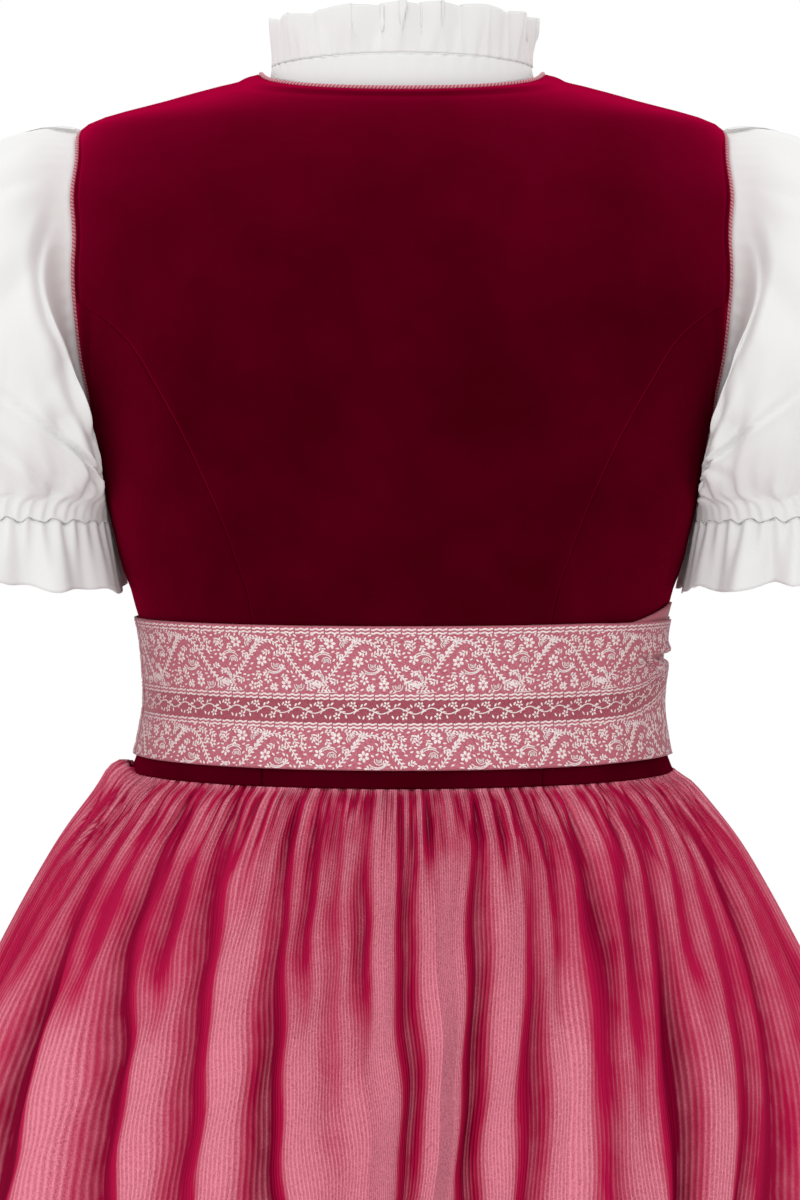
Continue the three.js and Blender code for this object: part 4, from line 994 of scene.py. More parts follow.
class Pattern:
    # collects leaves and threads of the woven pattern before they are laid on the ribbon
    def __init__(self):
        self.points = []
        self.faces = []

    def leaf(self, x, y, degrees, length, width):
        # a pointed oval with a raised middle
        angle = math.radians(degrees)
        start = len(self.points)
        outline = [(-0.5, 0), (-0.22, 0.42), (0.2, 0.46), (0.5, 0), (0.2, -0.46), (-0.22, -0.42)]
        self.points.append((x, y, threadHeight["crown"]))
        for along, across in outline:
            dx, dy = along * length, across * width
            self.points.append((x + dx * math.cos(angle) - dy * math.sin(angle),
                                y + dx * math.sin(angle) + dy * math.cos(angle), threadHeight["rim"]))
        for i in range(6):
            self.faces.append((start, start + 1 + i, start + 1 + (i + 1) % 6))

    def thread(self, route, width):
        # a raised line through the route's points
        route = np.array(route, float)
        ahead = np.gradient(route, axis=0)
        side = unit(np.stack([-ahead[:, 1], ahead[:, 0]], -1)) * width / 2
        start = len(self.points)
        for (x, y), (sx, sy) in zip(route, side):
            self.points += [(x + sx, y + sy, threadHeight["rim"]), (x, y, threadHeight["crown"]),
                            (x - sx, y - sy, threadHeight["rim"])]
        for i in range(len(route) - 1):
            a = start + 3 * i
            for k in (0, 1):
                self.faces.append((a + k, a + k + 3, a + k + 4, a + k + 1))

    def arc(self, x, y, radius, first, last, width):
        angles = np.radians(np.linspace(first, last, max(4, int(abs(last - first) * radius / 90))))
        self.thread([(x + radius * math.cos(a), y + radius * math.sin(a)) for a in angles], width)

    def flower(self, x, y, petals, length, turn=0):
        for i in range(petals):
            angle = 360 / petals * i + turn
            self.leaf(*stepFrom(x, y, angle, length * 0.62), angle, length * 0.85, length * 0.56)

    def rose(self, x, y, radius, turn, width):
        for share, span in ((1.0, 200), (0.62, 240), (0.28, 250)):
            middle = turn + 30 * share
            self.arc(x, y, radius * share, middle - span / 2, middle + span / 2, width)
        self.leaf(*stepFrom(x, y, turn + 180, radius * 1.3), turn + 90, radius * 0.8, radius * 0.4)

    def spray(self, x, y, degrees, leaves, step, size, width):
        # leaves to both sides of a short twig
        twig = [stepFrom(x, y, degrees, step * 0.6 * i) for i in range(leaves + 1)]
        self.thread(twig[:-1], width)
        for i, spot in enumerate(twig[:-1]):
            tilt = degrees + (48 if i % 2 else -48)
            self.leaf(*stepFrom(*spot, tilt, size[0] * 0.62), tilt, *size)
        self.leaf(*twig[-1], degrees, *size)


def scrollPattern():
    made = Pattern()
    thin = scroll["thread"]
    turn = 2 * math.pi / scroll["repeat"]
    xs = np.linspace(0, scroll["repeat"], 60)
    stem = np.stack([xs, scroll["middle"] + scroll["swing"] * np.cos((xs - 2) * turn)], -1)
    made.thread(stem, thin * 1.15)
    lengths = runLengths(stem)
    count = int(lengths[-1] / scroll["leafStep"])
    for i in range(count):
        along = lengths[-1] * (i + 0.5) / count
        x, y = (np.interp(along, lengths, stem[:, axis]) for axis in (0, 1))
        slope = -scroll["swing"] * turn * math.sin((x - 2) * turn)
        side = 1 if i % 2 else -1
        tilt = math.degrees(math.atan(slope)) + side * scroll["leafTilt"]
        away = 1.45 + 0.2 * math.sin(i * 2.1)
        made.leaf(*stepFrom(x, y, tilt, away), tilt, *scroll["leaf"])
    for x, y, petals, length in scrollFlowers:
        made.flower(x, y, petals, length, x * 17 % 60)
    for x, y, radius, way in scrollRoses:
        made.rose(x, y, radius, way, thin)
    for x, y, radius, first, last in scrollArcs:
        made.arc(x, y, radius, first, last, thin * 1.1)
    for x, y, degrees, leaves, step in scrollSprays:
        made.spray(x, y, degrees, leaves, step, scroll["leaf"], thin * 0.8)
    # single leaves fill what is still bare, apart from the calm fields inside the bends of the stem
    dice = np.random.default_rng(5)
    laid = np.array(made.points)[:, :2]
    most = (scroll["repeat"], scroll["band"], 40)
    for x, y, turned in dice.uniform((0, 0, -40), most, (scroll["fillTries"], 3)):
        calm = any(math.hypot((x - middleX) / 1.5, y - middleY) < 2.7 for middleX, middleY in calmFields)
        apart = np.hypot((laid[:, 0] - x + scroll["repeat"] / 2) % scroll["repeat"] - scroll["repeat"] / 2,
                         laid[:, 1] - y)
        if not calm and apart.min() > scroll["fillApart"]:
            way = -40 * math.cos((x - 12) * turn) + turned
            made.leaf(x, y, way, *scroll["leaf"])
            laid = np.array(made.points)[:, :2]
    return made


def vinePattern():
    made = Pattern()
    turn = 2 * math.pi / vine["repeat"]
    xs = np.linspace(0, vine["repeat"], 26)
    made.thread(np.stack([xs, vine["middle"] + vine["swing"] * np.cos(xs * turn)], -1), vine["thread"])
    made.flower(3.2, 2.9, 5, 2.2, 18)
    made.flower(13.0, 9.4, 5, 2.2, 40)
    for x, y, first, last in ((6.2, 8.6, 190, 275), (12.6, 3.4, 20, 100), (16.6, 9.2, 200, 300)):
        made.arc(x, y, 2.6, first, last, vine["thread"])
    for x, y, degrees in ((8.0, 3.2, -60), (10.2, 2.4, -40), (6.6, 9.8, 60), (9.2, 10.2, 110),
                          (17.0, 3.4, -120), (18.2, 9.6, 70), (0.4, 2.6, -60), (15.4, 5.2, -30),
                          (4.8, 5.4, 30)):
        made.leaf(x, y, degrees, *vine["leaf"])
    return made


def ladderPattern():
    made = Pattern()
    xs = np.linspace(0, ladder["segment"] - ladder["gap"], 9)
    for side in (-0.5, 0.5):
        wave = ladder["wave"] * np.sin(xs / ladder["segment"] * 4 * math.pi)
        made.thread(np.stack([xs, wave + side * ladder["apart"]], -1), ladder["thread"])
    return made


def wovenRows():
    # each pattern with its repeat, its scale and the share of the ribbon's height where it starts and ends
    bands = ribbonBands
    rows = [(ladderPattern(), ladder["segment"], 1, share, 1.0) for share in bands["ladders"]]
    rows.append((scrollPattern(), scroll["repeat"], scroll["scale"], *bands["upper"]))
    rows.append((vinePattern(), vine["repeat"], vine["scale"], *bands["vine"]))
    rows.append((scrollPattern(), scroll["repeat"], scroll["scale"], *bands["lower"]))
    return rows


def layPattern(name, place, length, centre=0):
    # place(x, share, above) is the point x millimetres along a stretch of ribbon and a share down its height
    height = ribbonSizes["top"] - ribbonSizes["bottom"]
    probe = np.array([length / 2, length / 2 + 1, length / 2, length / 2])
    spot = place(probe, np.array([0.5, 0.5, 0.51, 0.5]), np.array([0, 0, 0, 1.0]))
    handed = np.dot(np.cross(spot[1] - spot[0], spot[2] - spot[0]), spot[3] - spot[0])
    bm = bmesh.new()
    for index, (pattern, repeat, scale, top, bottom) in enumerate(wovenRows()):
        flat = np.array(pattern.points)
        flat[:, :2] *= scale
        step = repeat * scale
        phase = (centre + index * 1.7) % step - step
        faces = []
        for face in pattern.faces:
            corners = flat[list(face), :2]
            following = np.roll(corners, -1, 0)
            turned = np.sum(corners[:, 0] * following[:, 1] - corners[:, 1] * following[:, 0])
            faces.append(face if turned * handed > 0 else face[::-1])
        for copy in range(int(length / step) + 3):
            x = phase + copy * step + flat[:, 0]
            share = top + flat[:, 1] / height
            kept = (x > 0.4) & (x < length - 0.4) & (share < bottom - 0.002) & (share > 0.004)
            laid = place(np.clip(x, 0, length), share, flat[:, 2]) * mm
            verts = {i: bm.verts.new(laid[i]) for i in np.nonzero(kept)[0]}
            for face in faces:
                if all(kept[i] for i in face):
                    bm.faces.new([verts[i] for i in face])
    loose = [vert for vert in bm.verts if not vert.link_faces]
    bmesh.ops.delete(bm, geom=loose, context="VERTS")
    joinPart(finishObject(bm, name, [looks["thread"]]))


def ribbonPattern(name, layer, start, end):
    # lays the repeats along the ribbon round the waist
    angles = np.linspace(start, end, 400)
    middle = layer(angles, 0 * angles + 0.5)
    along = runLengths(middle)
    centre = np.interp(0 if start > end else -180, -angles, along)
    layPattern(name, lambda x, share, above: layer(np.interp(x, along, angles), share, above), along[-1],
               centre)


def makeRibbon():
    gap = ribbonSizes["joinGap"]
    join = ribbonSizes["join"] - gap / 2
    rim = 360 - join - gap
    clothPiece("ribbonBack", lambda u, v: ribbonLayer(lerp(join, -join, u), v), 190, 64, (355, 77),
               looks["ribbon"], ["ribbon_back"], ribbonSizes["wall"],
               attributes={"vine": vineMask})
    clothPiece("ribbonFront", lambda u, v: frontLayer(lerp(join + gap, rim, u), v), 120, 24, (440, 77),
               looks["ribbon"], ["ribbon_front"], ribbonSizes["wall"],
               attributes={"vine": vineMask})
    ribbonPattern("patternBack", ribbonLayer, join - gap, -join + gap)
    ribbonPattern("patternFront", frontLayer, join + 2 * gap, rim - gap)

    def underSurface(u, v):
        degrees = lerp(ribbonSizes["underFrom"], -join, u)
        top = ribbonSizes["top"] + lerp(*ribbonSizes["underRise"], u)
        lift = ribbonSizes["underOffset"] + ribbonSizes["underWall"]
        return bodyOffset(degrees, lerp(top, ribbonSizes["bottom"] + 20, v), lift)

    clothPiece("ribbonUnder", underSurface, 20, 16, (60, 62), looks["ribbon"], ["ribbon_under"],
               ribbonSizes["underWall"], attributes={"vine": plainMask})


# Bow at the front and buttons

bow = {"degrees": 160, "z": -338, "lift": 2.2, "middle": 10}
knot = {"half": 13, "depth": 9, "height": 17, "folds": 5, "foldDepth": 0.07}
loop = {"root": 11.3, "length": 78, "rootWidth": 16, "width": 46, "halfDepth": 9.5, "droop": 0.06,
        "mouth": 0.09, "pleat": 1.3, "pleats": 4, "cut": (158, 77)}
tail = {"top": 16.8, "length": 330, "topWidth": 14, "width": 60, "clearance": 5, "ripple": 3, "slant": 16,
        "spread": 12, "pleat": 1.4, "pleats": 4, "cut": (77, 318)}


def bowAxes():
    spot = np.array(float(bow["degrees"]))
    out = bodyNormal(spot, np.array(float(bow["z"])))
    out = unit(out * np.array([1, 1, 0]))
    across = np.cross(np.array([0, 0, 1.0]), out)
    origin = bodyOffset(spot, np.array(float(bow["z"])), np.array(float(bow["lift"])))
    return origin, across, out


def bowPlace(aside, up, away):
    origin, across, out = bowAxes()
    return (origin + aside[:, None] * across + up[:, None] * np.array([0, 0, 1.0]) + away[:, None] * out)


def apronReach(z):
    # how far the apron stands out from the knot's own plane at a height below it
    origin, out = bowAxes()[::2]
    angles = np.linspace(*apronSizes["sides"], 28)
    low = np.minimum(z, bodiceEdges["waist"])
    lift = apronSizes["liftLow"] * 0.85 + 0 * low
    reaches = [(skirtPoint(degrees + 0 * low, low, lift) - origin) @ out for degrees in angles]
    return np.max(reaches, axis=0)


def knotSurface(u, v):
    # a band round the roots of the loops, drawn in at both ends
    turn = 2 * math.pi * v
    aside = (2 * u - 1) * 0.94
    slim = np.sqrt(1 - aside**2)
    folds = 1 - knot["foldDepth"] * (0.5 + 0.5 * np.sin(u * 2 * math.pi * knot["folds"] + 0.8 * np.sin(turn)))
    return bowPlace(aside * knot["half"], knot["height"] * slim * folds * np.sin(turn),
                    bow["middle"] + knot["depth"] * slim * folds * np.cos(turn))


def loopSurface(sign):
    def surface(u, v, above=0):
        turn = lerp(loop["mouth"], 2 - loop["mouth"], u) * math.pi
        reach = loop["length"] * (0.5 - 0.5 * np.cos(turn))
        width = lerp(loop["rootWidth"], loop["width"], np.maximum(np.sin(turn / 2), 0) ** 0.6)
        near = 1 - 0.75 * between(reach, 8, 66)
        pleat = loop["pleat"] * near * np.sin(v * 2 * math.pi * loop["pleats"] + 1.1) - 0.4
        away = bow["middle"] + 1 + (loop["halfDepth"] + above + pleat) * np.sin(turn)
        aside = sign * (loop["root"] + reach - np.maximum(-np.cos(turn), 0) * (0.3 - above))
        return bowPlace(aside, (0.5 - v) * width - loop["droop"] * reach, away)

    return surface


def tailSurface(sign):
    depth = np.linspace(tail["top"], tail["length"] + tail["slant"], 60)
    reaches = apronReach(bow["z"] - depth)

    def surface(u, v, above=0):
        down = lerp(tail["top"], tail["length"], v) + (u - 0.5) * tail["slant"] * v
        width = lerp(tail["topWidth"], tail["width"], between(v, 0, 0.25))
        ripple = tail["ripple"] * np.sin(u * 2 * math.pi) * between(v, 0.1, 0.5)
        pleat = tail["pleat"] * np.sin(u * 2 * math.pi * tail["pleats"]) * (1 - between(v, 0.05, 0.5))
        hang = np.interp(down, depth, reaches) + tail["clearance"] + ripple
        aside = sign * (2 + tail["spread"] * v + u * width)
        away = lerp(bow["middle"] - 1, hang, between(v, 0, 0.16)) + pleat * between(v, 0, 0.03) + above
        return bowPlace(aside, -down, away)

    return surface


def makeBow():
    origin, across, out = bowAxes()
    heart = tuple(float(x) for x in origin + out * bow["middle"])
    cloth = {"vine": vineMask}
    clothPiece("bowKnot", knotSurface, 40, 40, (30, 84), looks["ribbon"], ["bow_knot"],
               1.0, closed=True, inside=heart, attributes={"vine": plainMask})
    for side, sign in sides.items():
        name = side.title()
        surface = loopSurface(sign)
        centre = origin + out * (bow["middle"] + 1) + across * sign * (loop["root"] + loop["length"] / 2)
        clothPiece(f"bowLoop{name}", surface, 70, 36, loop["cut"], looks["ribbon"],
                   [f"bow_loop_{side}"], 1.2, inside=tuple(map(float, centre)), attributes=cloth)
        run = loop["cut"][0]
        layPattern(f"patternLoop{name}", lambda x, share, above: surface(x / run, share, above + 0.05), run)
        hanging = tailSurface(sign)
        clothPiece(f"bowTail{name}", hanging, 36, 84, tail["cut"], looks["ribbon"],
                   [f"bow_tail_{side}"], 1.2, inside=(0, 60, -500),
                   attributes={"vine": lambda u, v: vineMask(v, u)})
        fall = tail["cut"][1]
        layPattern(f"patternTail{name}", lambda x, share, above: hanging(share, x / fall, above + 0.05), fall)


buttons = {"bodice": [-150, -178, -206, -234, -262, -290], "blouse": [-72, -92, -112], "bodiceRadius": 6,
           "blouseRadius": 4.5, "bodiceOffset": 0.5, "blouseOffset": -4.6, "sides": 40, "petals": 8,
           "relief": 0.045}


def makeButton(name, z, radius, offset):
    # a domed button with a rolled rim and a raised rosette
    profile = np.array([(0, 0), (0.8, 0), (0.97, 0.08), (1.0, 0.18), (0.97, 0.27), (0.9, 0.33), (0.84, 0.33),
                        (0.8, 0.29), (0.76, 0.34), (0.66, 0.46), (0.52, 0.54), (0.36, 0.59), (0.24, 0.6),
                        (0.2, 0.56), (0.16, 0.6), (0.09, 0.65), (0, 0.66)])
    high = np.array(float(z))
    normal = bodyNormal(np.array(180.0), high)
    centre = bodyOffset(np.array(180.0), high, np.array(float(offset)))
    side = np.array([1.0, 0, 0])
    up = np.cross(normal, side)
    bm = bmesh.new()
    bmesh.ops.create_grid(bm, x_segments=buttons["sides"], y_segments=len(profile) - 1, size=0.5)
    for vert in bm.verts:
        turn = (vert.co.x + 0.5) * 2 * math.pi
        k = round((vert.co.y + 0.5) * (len(profile) - 1))
        out, rise = profile[k] * radius
        if 9 <= k <= 12:
            rise += radius * buttons["relief"] * math.cos(turn * buttons["petals"])
        point = centre + (side * math.cos(turn) + up * math.sin(turn)) * out + normal * rise
        vert.co = Vector(point * mm)
    bmesh.ops.remove_doubles(bm, verts=bm.verts, dist=1e-6)
    bmesh.ops.recalc_face_normals(bm, faces=bm.faces)
    joinPart(finishObject(bm, name, [looks["metal"]]), [name])


def makeButtons():
    for kind in ("bodice", "blouse"):
        for i, z in enumerate(buttons[kind]):
            makeButton(f"{kind}_button_{i + 1}", z, buttons[f"{kind}Radius"], buttons[f"{kind}Offset"])


makeBodice()
makePiping()
makeSkirt()
makeRibbon()
makeBow()
makeButtons()
print("dress and ribbon made")


# Blouse

blouseSizes = {"offset": -5.2, "hem": -250, "wall": 1.1, "collarSeam": 0.9}
collarSizes = {"half": 73.5, "back": 54, "front": 58, "backDrop": 12, "frontDrop": 46, "side": -3,
               "sideHeight": 6.5, "middleHeight": 21, "lean": -1.5, "ruffle": 26, "flare": 1.6, "waves": 15,
               "wave": 2.9, "overlap": 3.3, "puckers": 53, "ragged": 2.2}


def collarPoint(degrees, share, rise, lean):
    c = np.cos(np.radians(degrees))
    s = np.sin(np.radians(degrees))
    drop = np.where(c > 0, collarSizes["backDrop"], collarSizes["frontDrop"]) * c * c
    depth = np.where(c > 0, collarSizes["back"], collarSizes["front"])
    height = lerp(collarSizes["sideHeight"], collarSizes["middleHeight"], c * c)
    return np.stack([(collarSizes["half"] + lean) * s, (depth + lean) * c,
                     collarSizes["side"] - drop + height * share + rise], -1)


def blouseEdge(face, z):
    covered = (z > bodiceEdges["tip"]) | (z < bodiceEdges["underarm"])
    return np.where(covered, 90, armholeAngle(face, z))


def blouseSurface(face, acrossOf):
    def surface(u, v):
        across = acrossOf(u)
        edgeZ = blouseSizes["hem"] * v
        drop = bodiceEdges["napeDrop"] + 4 if face == "back" else collarSizes["frontDrop"] + 6
        angle = across * (blouseEdge(face, edgeZ) - seamAngle(edgeZ))
        dip = drop * np.cos(np.radians(across * 90)) ** 2 * (1 - v)
        onBody = bodyOffset(angle if face == "back" else 180 - angle, edgeZ - dip, blouseSizes["offset"])
        shown = across * 90 if face == "back" else 180 - across * 90
        atCollar = collarPoint(shown, 0, -blouseSizes["collarSeam"], 0)
        return lerp(atCollar, onBody, between(v, -0.001, 0.05)[:, None])

    return surface


def ringWave(u, waves, seed):
    turn = 2 * math.pi * u
    drift = 0.9 * np.sin(2 * turn + seed) + 0.5 * np.sin(5 * turn + seed * 2.3)
    return (0.75 + 0.25 * np.sin(3 * turn + seed * 1.3)) * np.sin(waves * turn + drift)


def makeBlouse():
    material = looks["cotton"]
    clothPiece("blouseBack", blouseSurface("back", lambda u: 2 * u - 1), 50, 50, (372, 262), material,
               ["blouse_back"], blouseSizes["wall"])
    for side, sign in sides.items():
        clothPiece(f"blouseFront{side.title()}", blouseSurface("front", lambda u: lerp(0.0012, 1, u)), 36, 50,
                   (192, 250), material, [f"blouse_front_{side}"],
                   blouseSizes["wall"], mirror=sign)

    def standSurface(u, v):
        pucker = 0.5 * ringWave(u, 46, 2) * (1 - v) ** 2
        return collarPoint(360 * u, 1 - v, 0, collarSizes["lean"] * (1 - v) + pucker)

    clothPiece("collarStand", standSurface, 220, 10, (430, 21), material, ["collar_stand"],
               blouseSizes["wall"], closed=True)

    def ruffleSurface(u, v):
        # flat panels that lap over each other, drawn together into fine puckers at the seam
        rise = 1 - v
        turn = 2 * math.pi * u
        phase = collarSizes["waves"] * turn + 1.5 * np.sin(2 * turn + 1.0) + 1.1 * np.sin(5 * turn + 0.4)
        size = 0.7 + 0.3 * np.sin(3 * turn + 0.8)
        opened = smoothStep(rise * 1.25)
        wave = collarSizes["wave"] * np.tanh(1.9 * np.sin(phase)) * opened * size
        shift = collarSizes["overlap"] * np.sin(2 * phase) * opened * size
        small = ringWave(u, collarSizes["puckers"], 4) * (0.3 + 0.7 * (1 - rise) ** 2)
        uneven = np.abs(np.sin(phase / 2 + 0.5)) - 0.6 + 0.5 * np.sin(2 * turn + 2.6)
        ragged = collarSizes["ragged"] * uneven * rise
        lean = collarSizes["lean"] + collarSizes["flare"] * smoothStep(rise) + wave + small
        up = bodiceEdges["gap"] + collarSizes["ruffle"] * rise + ragged
        return collarPoint(360 * u + shift, 1, up, lean)

    clothPiece("collarRuffle", ruffleSurface, 520, 18, (500, 29), material, ["collar_ruffle"],
               0.8, closed=True)


sleeveRings = {
    "outerX": [198, 226, 262, 290, 303, 301, 290, 278, 273, 273],
    "outerZ": [-28.5, -37, -58, -90, -128, -166, -201, -226, -232, -243],
    "innerX": [179.5, 177, 174.8, 172.8, 171, 169.6, 168.3, 167.4, 167.2, 166.4],
    "innerZ": [-204, -210, -215, -219, -223, -227, -231, -235, -239, -248],
    "back": [59, 69, 76, 80, 79, 74, 65, 55, 51, 51],
    "front": [68, 75, 80, 82, 80, 74, 65, 55, 51, 51],
}
sleeveLip = {"beyond": 4.2, "offset": -0.6, "nearer": 5.0, "wrap": 32, "clear": 2.6, "outline": 1.0,
             "run": 1.0, "top": 1.6, "finer": 0.45, "finest": 0.27}
ruffleSizes = {"height": 35, "lower": 3.0, "flare": 8, "waves": 13, "wave": 5.4}
ringPlaces = np.arange(len(sleeveRings["outerX"])) + 2
ringCurves = {key: curveOf(ringPlaces, row) for key, row in sleeveRings.items()}
sleeveEnd = float(ringPlaces[-1])


def pressedShare(u):
    # gathers and waves lie flatter where the sleeve touches the bodice
    return 1 - 0.75 * between(-np.cos(2 * math.pi * u), 0.3, 0.9)


def sleeveRing(u, place):
    turn = 2 * math.pi * u
    c, s = np.cos(turn), np.sin(turn)
    read = {key: curve(place) for key, curve in ringCurves.items()}
    ring = np.stack([(read["outerX"] + read["innerX"]) / 2 + (read["outerX"] - read["innerX"]) / 2 * c,
                     np.where(s > 0, read["back"], read["front"]) * s,
                     (read["outerZ"] + read["innerZ"]) / 2 + (read["outerZ"] - read["innerZ"]) / 2 * c], -1)
    touch = between(-c, 0.2, 0.95) * sleeveLip["nearer"]
    wrap = between(-c, -0.5, 0.6) * np.maximum(s, 0.4 * np.abs(s)) * sleeveLip["wrap"]
    touch = touch + wrap * (1 - 0.75 * between(place, 7, 11))
    ring[:, 0] -= touch * between(place, 1.8, 4.2)
    # it lies against the bodice and never in it
    x, y, z = ring[:, 0], ring[:, 1], ring[:, 2]
    depth = np.where(y > 0, bodyBack(z), bodyFront(z))
    bodice = bodyHalf(z) * np.sqrt(np.clip(1 - (y / depth) ** 2, 0, 1)) + sleeveLip["clear"]
    x = np.where(z < bodiceEdges["princessTop"], np.maximum(x, bodice), x)
    # seen from behind, it covers the bodice's edge by no more than it does in the photo
    outline = (bodyHalf(z) + sleeveLip["outline"]) * (1 - np.maximum(y, 0) / studio["distance"])
    x = lerp(x, np.maximum(x, outline), between(z, -140, -172))
    ring[:, 0] = x
    return ring


def sleeveCore(u, place):
    # from the hidden edge inside the armhole over the lip beside the piping, then smoothly on to the rings
    degrees, z = armholeEdge(u)
    start = bodyOffset(degrees, z, blouseSizes["offset"])
    middle = np.array([176, 0, (bodiceEdges["tip"] + bodiceEdges["underarm"]) / 2])
    start = lerp(start, middle, 0.03) + np.array([1.2, 0, 0])
    after, afterZ = armholeEdge(u + 0.002)
    before, beforeZ = armholeEdge(u - 0.002)
    normal = bodyNormal(degrees, z)
    beyond = unit(np.cross(bodyPoint(after, afterZ) - bodyPoint(before, beforeZ), normal))
    rise = sleeveLip["offset"] + sleeveLip["top"] * between(np.cos(2 * math.pi * u), 0.75, 1)
    lip = bodyPoint(degrees, z) + beyond * sleeveLip["beyond"] + normal * rise[:, None]
    first = lerp(start, lip, np.clip(place, 0, 1)[:, None])
    # the curve leaves the lip outwards and runs on into the second ring without a break
    onward = 2 + sleeveLip["run"]
    t = np.clip((place - 1) / (onward - 1), 0, 1)[:, None]
    ring = sleeveRing(u, 0 * place + onward)
    course = (sleeveRing(u, 0 * place + onward + 0.04) - ring) / 0.04 * (onward - 1)
    leave = (beyond * 0.55 + normal * 0.8) * np.linalg.norm(ring - lip, axis=-1, keepdims=True)
    second = easeCurve(t, lip, leave, ring, course)
    rest = sleeveRing(u, np.maximum(place, onward))
    return np.where((place < 1)[:, None], first, np.where((place < onward)[:, None], second, rest))


def sleeveMiddle(place):
    return (sleeveCore(0 * place, place) + sleeveCore(0 * place + 0.5, place)) / 2


# folds: turn round the arm and place along it where each starts and ends, depth, width and how crisp it is
sleeveFolds = [
    (0.070, 2.2, 0.120, 7.2, 2.2, 0.013, 1.0), (0.135, 1.8, 0.150, 4.6, 1.7, 0.010, 1.2),
    (0.165, 3.0, 0.205, 8.6, 2.9, 0.016, 1.0), (0.215, 2.0, 0.250, 6.2, 2.0, 0.012, 1.0),
    (0.262, 4.4, 0.250, 9.6, 3.0, 0.013, 1.2), (0.300, 1.8, 0.330, 6.4, 2.4, 0.013, 1.0),
    (0.325, 5.2, 0.300, 9.6, 2.6, 0.010, 1.3), (0.372, 3.2, 0.360, 9.2, 2.7, 0.014, 1.0),
    (0.392, 1.8, 0.410, 5.0, 1.6, 0.009, 1.2), (0.420, 5.4, 0.400, 9.7, 2.4, 0.011, 1.2),
    (0.190, 1.5, 0.395, 6.4, 3.2, 0.013, 1.1), (0.240, 5.6, 0.420, 8.0, 3.0, 0.011, 1.2),
    (0.020, 2.0, 0.010, 6.6, 2.2, 0.015, 1.0), (0.960, 2.4, 0.930, 8.8, 2.9, 0.018, 1.0),
    (0.890, 2.0, 0.860, 6.8, 2.4, 0.014, 1.0), (0.820, 4.0, 0.800, 9.6, 3.0, 0.016, 1.2),
    (0.760, 2.0, 0.740, 6.0, 2.2, 0.013, 1.0), (0.700, 3.4, 0.700, 9.4, 2.8, 0.016, 1.0),
    (0.630, 2.2, 0.640, 6.4, 2.2, 0.013, 1.0), (0.580, 5.0, 0.600, 9.6, 2.4, 0.012, 1.2),
]
# dents seen near the bodice: turn, place, slant in turns a place, depth, width in turns, length in places
sleeveDents = {
    1: [(0.330, 6.6, 0.020, 2.8, 0.010, 1.1), (0.352, 7.6, 0.024, 2.2, 0.008, 0.8),
        (0.285, 8.2, 0.030, 3.0, 0.010, 1.3), (0.230, 8.8, -0.014, 2.4, 0.010, 1.0),
        (0.372, 5.2, 0.006, 1.8, 0.008, 1.5), (0.300, 4.6, -0.006, 1.8, 0.014, 1.8),
        (0.205, 9.1, 0.012, 2.2, 0.009, 0.8)],
    -1: [(0.318, 5.6, 0.012, 2.9, 0.012, 2.4), (0.365, 6.9, -0.030, 2.4, 0.008, 0.9),
         (0.245, 8.9, 0.016, 2.8, 0.011, 1.1), (0.290, 9.1, -0.012, 2.6, 0.010, 0.9),
         (0.395, 8.9, -0.020, 3.0, 0.011, 0.9), (0.350, 3.4, -0.004, 1.6, 0.010, 1.5),
         (0.210, 8.4, 0.014, 2.4, 0.011, 1.2)],
}
sleeveGathers = {"head": 0.8, "headWaves": 53, "cuff": 1.9, "cuffWaves": 23, "fine": 1.2, "fineWaves": 49,
                 "casing": 1.0, "casingWaves": 61, "cuffRows": (4.8, 2, 1.7, 0.6),
                 "casingRows": (1.6, 1, 0.2, 0)}


def bandShare(place, rows):
    # rises to 1 and falls again over four places counted back from the sleeve's end
    start, full, fading, end = (sleeveEnd - row for row in rows)
    return between(place, start, full) * (1 - between(place, fading, end))


def sleeveLift(u, place, sign):
    lift = 0 * u
    shift = 0 if sign > 0 else 0.013
    for startTurn, startPlace, endTurn, endPlace, depth, width, crisp in sleeveFolds:
        share = (place - startPlace) / (endPlace - startPlace)
        centre = lerp(startTurn, endTurn, share) + shift + 0.006 * np.sin(place * 1.7 + startTurn * 40)
        apart = (u - centre + 0.5) % 1 - 0.5
        fade = np.sin(np.clip(share, 0, 1) * math.pi) ** 0.7
        trough = np.exp(-np.abs(apart / width) ** (1.6 / crisp))
        lift = lift - depth * fade * trough + 0.45 * depth * fade * bell(np.abs(apart) - 2 * width, width)
    for turn, at, slant, depth, width, length in sleeveDents[sign]:
        apart = (u - turn - slant * (place - at) + 0.5) % 1 - 0.5
        near = bell(place - at, length)
        lift = lift - depth * near * np.exp(-np.abs(apart / width) ** 1.4)
        lift = lift + 0.5 * depth * near * bell(np.abs(apart) - 2 * width, width)
    sizes = sleeveGathers
    head = between(place, 1.0, 1.2) * (1 - between(place, 1.3, 2.4))
    head = head * (0.6 + 0.4 * np.sin(2 * math.pi * u * 3 + 1))
    cuff = bandShare(place, sizes["cuffRows"])
    casing = bandShare(place, sizes["casingRows"])
    for kind, share, seed in (("head", head, 2), ("cuff", cuff, 5 + sign), ("fine", cuff, 1 - sign),
                              ("casing", casing, 3)):
        wave = ringWave(u, sizes[f"{kind}Waves"], seed)
        lift = lift + (sizes[kind] * share * wave) * pressedShare(u)
    return lift


def seamWave(u):
    # the casing's gathers draw its lower seam up and down
    return 1.3 * ringWave(u, 29, 2) + 0.5 * ringWave(u, 61, 4)


def sleeveSurface(sign):
    def surface(u, v):
        # columns lie closer on the back, where the folds show
        u = u - sleeveLip["finer"] / (2 * math.pi) * np.sin(2 * math.pi * (u - sleeveLip["finest"]))
        place = v * sleeveEnd
        points = sleeveCore(u, place)
        out = unit(points - sleeveMiddle(place))
        points = points + out * sleeveLift(u, place, sign)[:, None]
        points[:, 2] += seamWave(u) * between(place, sleeveEnd - 2, sleeveEnd)
        return points

    return surface


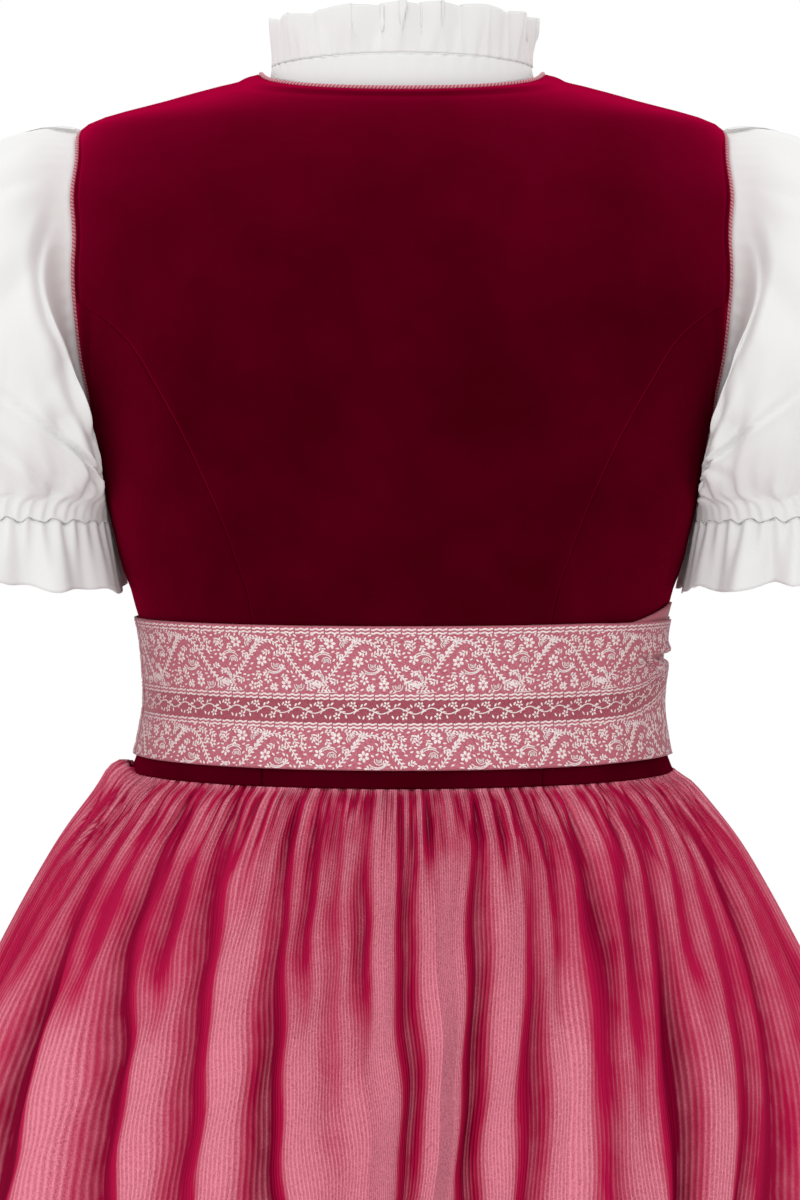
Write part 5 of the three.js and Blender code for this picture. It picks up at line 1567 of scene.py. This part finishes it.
def cuffRuffleSurface(sign):
    def surface(u, v):
        place = 0 * u + sleeveEnd
        points = sleeveCore(u, place)
        out = points - sleeveMiddle(place)
        out[:, 2] = 0
        out = unit(out)
        pressed = pressedShare(u)
        wave = ringWave(u, ruffleSizes["waves"], 3 + sign) * ruffleSizes["wave"] * smoothStep(v * 1.2)
        wave = wave + 2.2 * ringWave(u, 7, 1 + sign) * v
        small = ringWave(u, 47, 5) * (2.1 * (1 - v) ** 2 + 0.3)
        ragged = (2.2 * ringWave(u, 7, 2 + sign) + 1.0 * ringWave(u, 17, 2)) * v
        points = points + out * (ruffleSizes["flare"] * v + (wave + small) * pressed)[:, None]
        # the ruffle hangs a little lower against the bodice
        inner = (0.5 - 0.5 * np.cos(2 * math.pi * u)) ** 2
        hang = (ruffleSizes["height"] + ruffleSizes["lower"] * inner) * v
        points[:, 2] += seamWave(u) * (1 - v) - bodiceEdges["gap"] - hang - ragged
        return points

    return surface


def makeSleeves():
    for side, sign in sides.items():
        clothPiece(f"sleeve{side.title()}", sleeveSurface(sign), 210, 104, (440, 250), looks["cotton"],
                   [f"sleeve_{side}"], 0.9, closed=True, inside=(220, 0, -150),
                   mirror=sign)
        clothPiece(f"cuffRuffle{side.title()}", cuffRuffleSurface(sign), 320, 16, (440, 37), looks["cotton"],
                   [f"sleeve_ruffle_{side}"], 0.8, closed=True, inside=(220, 0, -270),
                   mirror=sign)


makeBlouse()
makeSleeves()
print("blouse made")


# Light, floor and camera

# where each light stands, what it is turned to and its size, in metres
lights = [
    ("keyBack", (1.3, 2.2, 0.9), (0, 0, -0.35), (1.2, 1.2), "key"),
    ("keyFront", (-1.3, -2.2, 0.9), (0, 0, -0.35), (1.2, 1.2), "key"),
    ("sideKey", (2.4, 0.6, 0.2), (0, 0, -0.3), (1.0, 1.4), "sideKey"),
    ("top", (0, 0.1, 2.2), (0, 0, -0.3), (1.2, 1.2), "top"),
]


def makeCamera():
    data = bpy.data.cameras.new("camera")
    data.sensor_fit = "VERTICAL"
    data.sensor_height = 24
    data.lens = 24 * (studio["distance"] / studio["scale"]) / 1200
    data.clip_end = 20
    camera = bpy.data.objects.new("camera", data)
    camera.location = (studio["aside"] * mm, studio["distance"] * mm, studio["eye"] * mm)
    camera.rotation_euler = (math.radians(90 - studio["tilt"]), 0, math.radians(180))
    bpy.context.scene.collection.objects.link(camera)
    bpy.context.scene.camera = camera


def areaLight(name, place, target, size, power):
    data = bpy.data.lights.new(name, "AREA")
    data.shape = "RECTANGLE"
    data.size, data.size_y = size
    data.energy = power
    lamp = bpy.data.objects.new(name, data)
    lamp.location = place
    lamp.rotation_euler = (Vector(target) - Vector(place)).to_track_quat("-Z", "Y").to_euler()
    bpy.context.scene.collection.objects.link(lamp)


def makeStudio():
    bm = bmesh.new()
    bmesh.ops.create_grid(bm, x_segments=1, y_segments=1, size=3)
    bmesh.ops.translate(bm, verts=bm.verts, vec=(0, 0, studio["floor"] * mm))
    g = Graph("floor")
    floor = finishObject(bm, "floor", [g.finish(g.cloth((0.85, 0.85, 0.85), None, Roughness=0.7))], False)
    world = bpy.data.worlds.new("studio")
    bpy.context.scene.world = world
    world.use_nodes = True
    tree = world.node_tree
    tree.nodes.clear()
    out = tree.nodes.new("ShaderNodeOutputWorld")
    blend = tree.nodes.new("ShaderNodeMixShader")
    ray = tree.nodes.new("ShaderNodeLightPath")
    tree.links.new(ray.outputs["Is Camera Ray"], blend.inputs[0])
    # the light that fills the scene, and the white that the camera sees behind it
    for socket, strength in ((1, studio["fill"]), (2, 1.0)):
        light = tree.nodes.new("ShaderNodeBackground")
        light.inputs[0].default_value = (1, 1, 1, 1)
        light.inputs[1].default_value = strength
        tree.links.new(light.outputs[0], blend.inputs[socket])
    tree.links.new(blend.outputs[0], out.inputs[0])
    for name, place, target, size, strength in lights:
        areaLight(name, place, target, size, studio[strength])
    bpy.context.scene.view_settings.view_transform = "Standard"


makeCamera()
makeStudio()
print("ready")
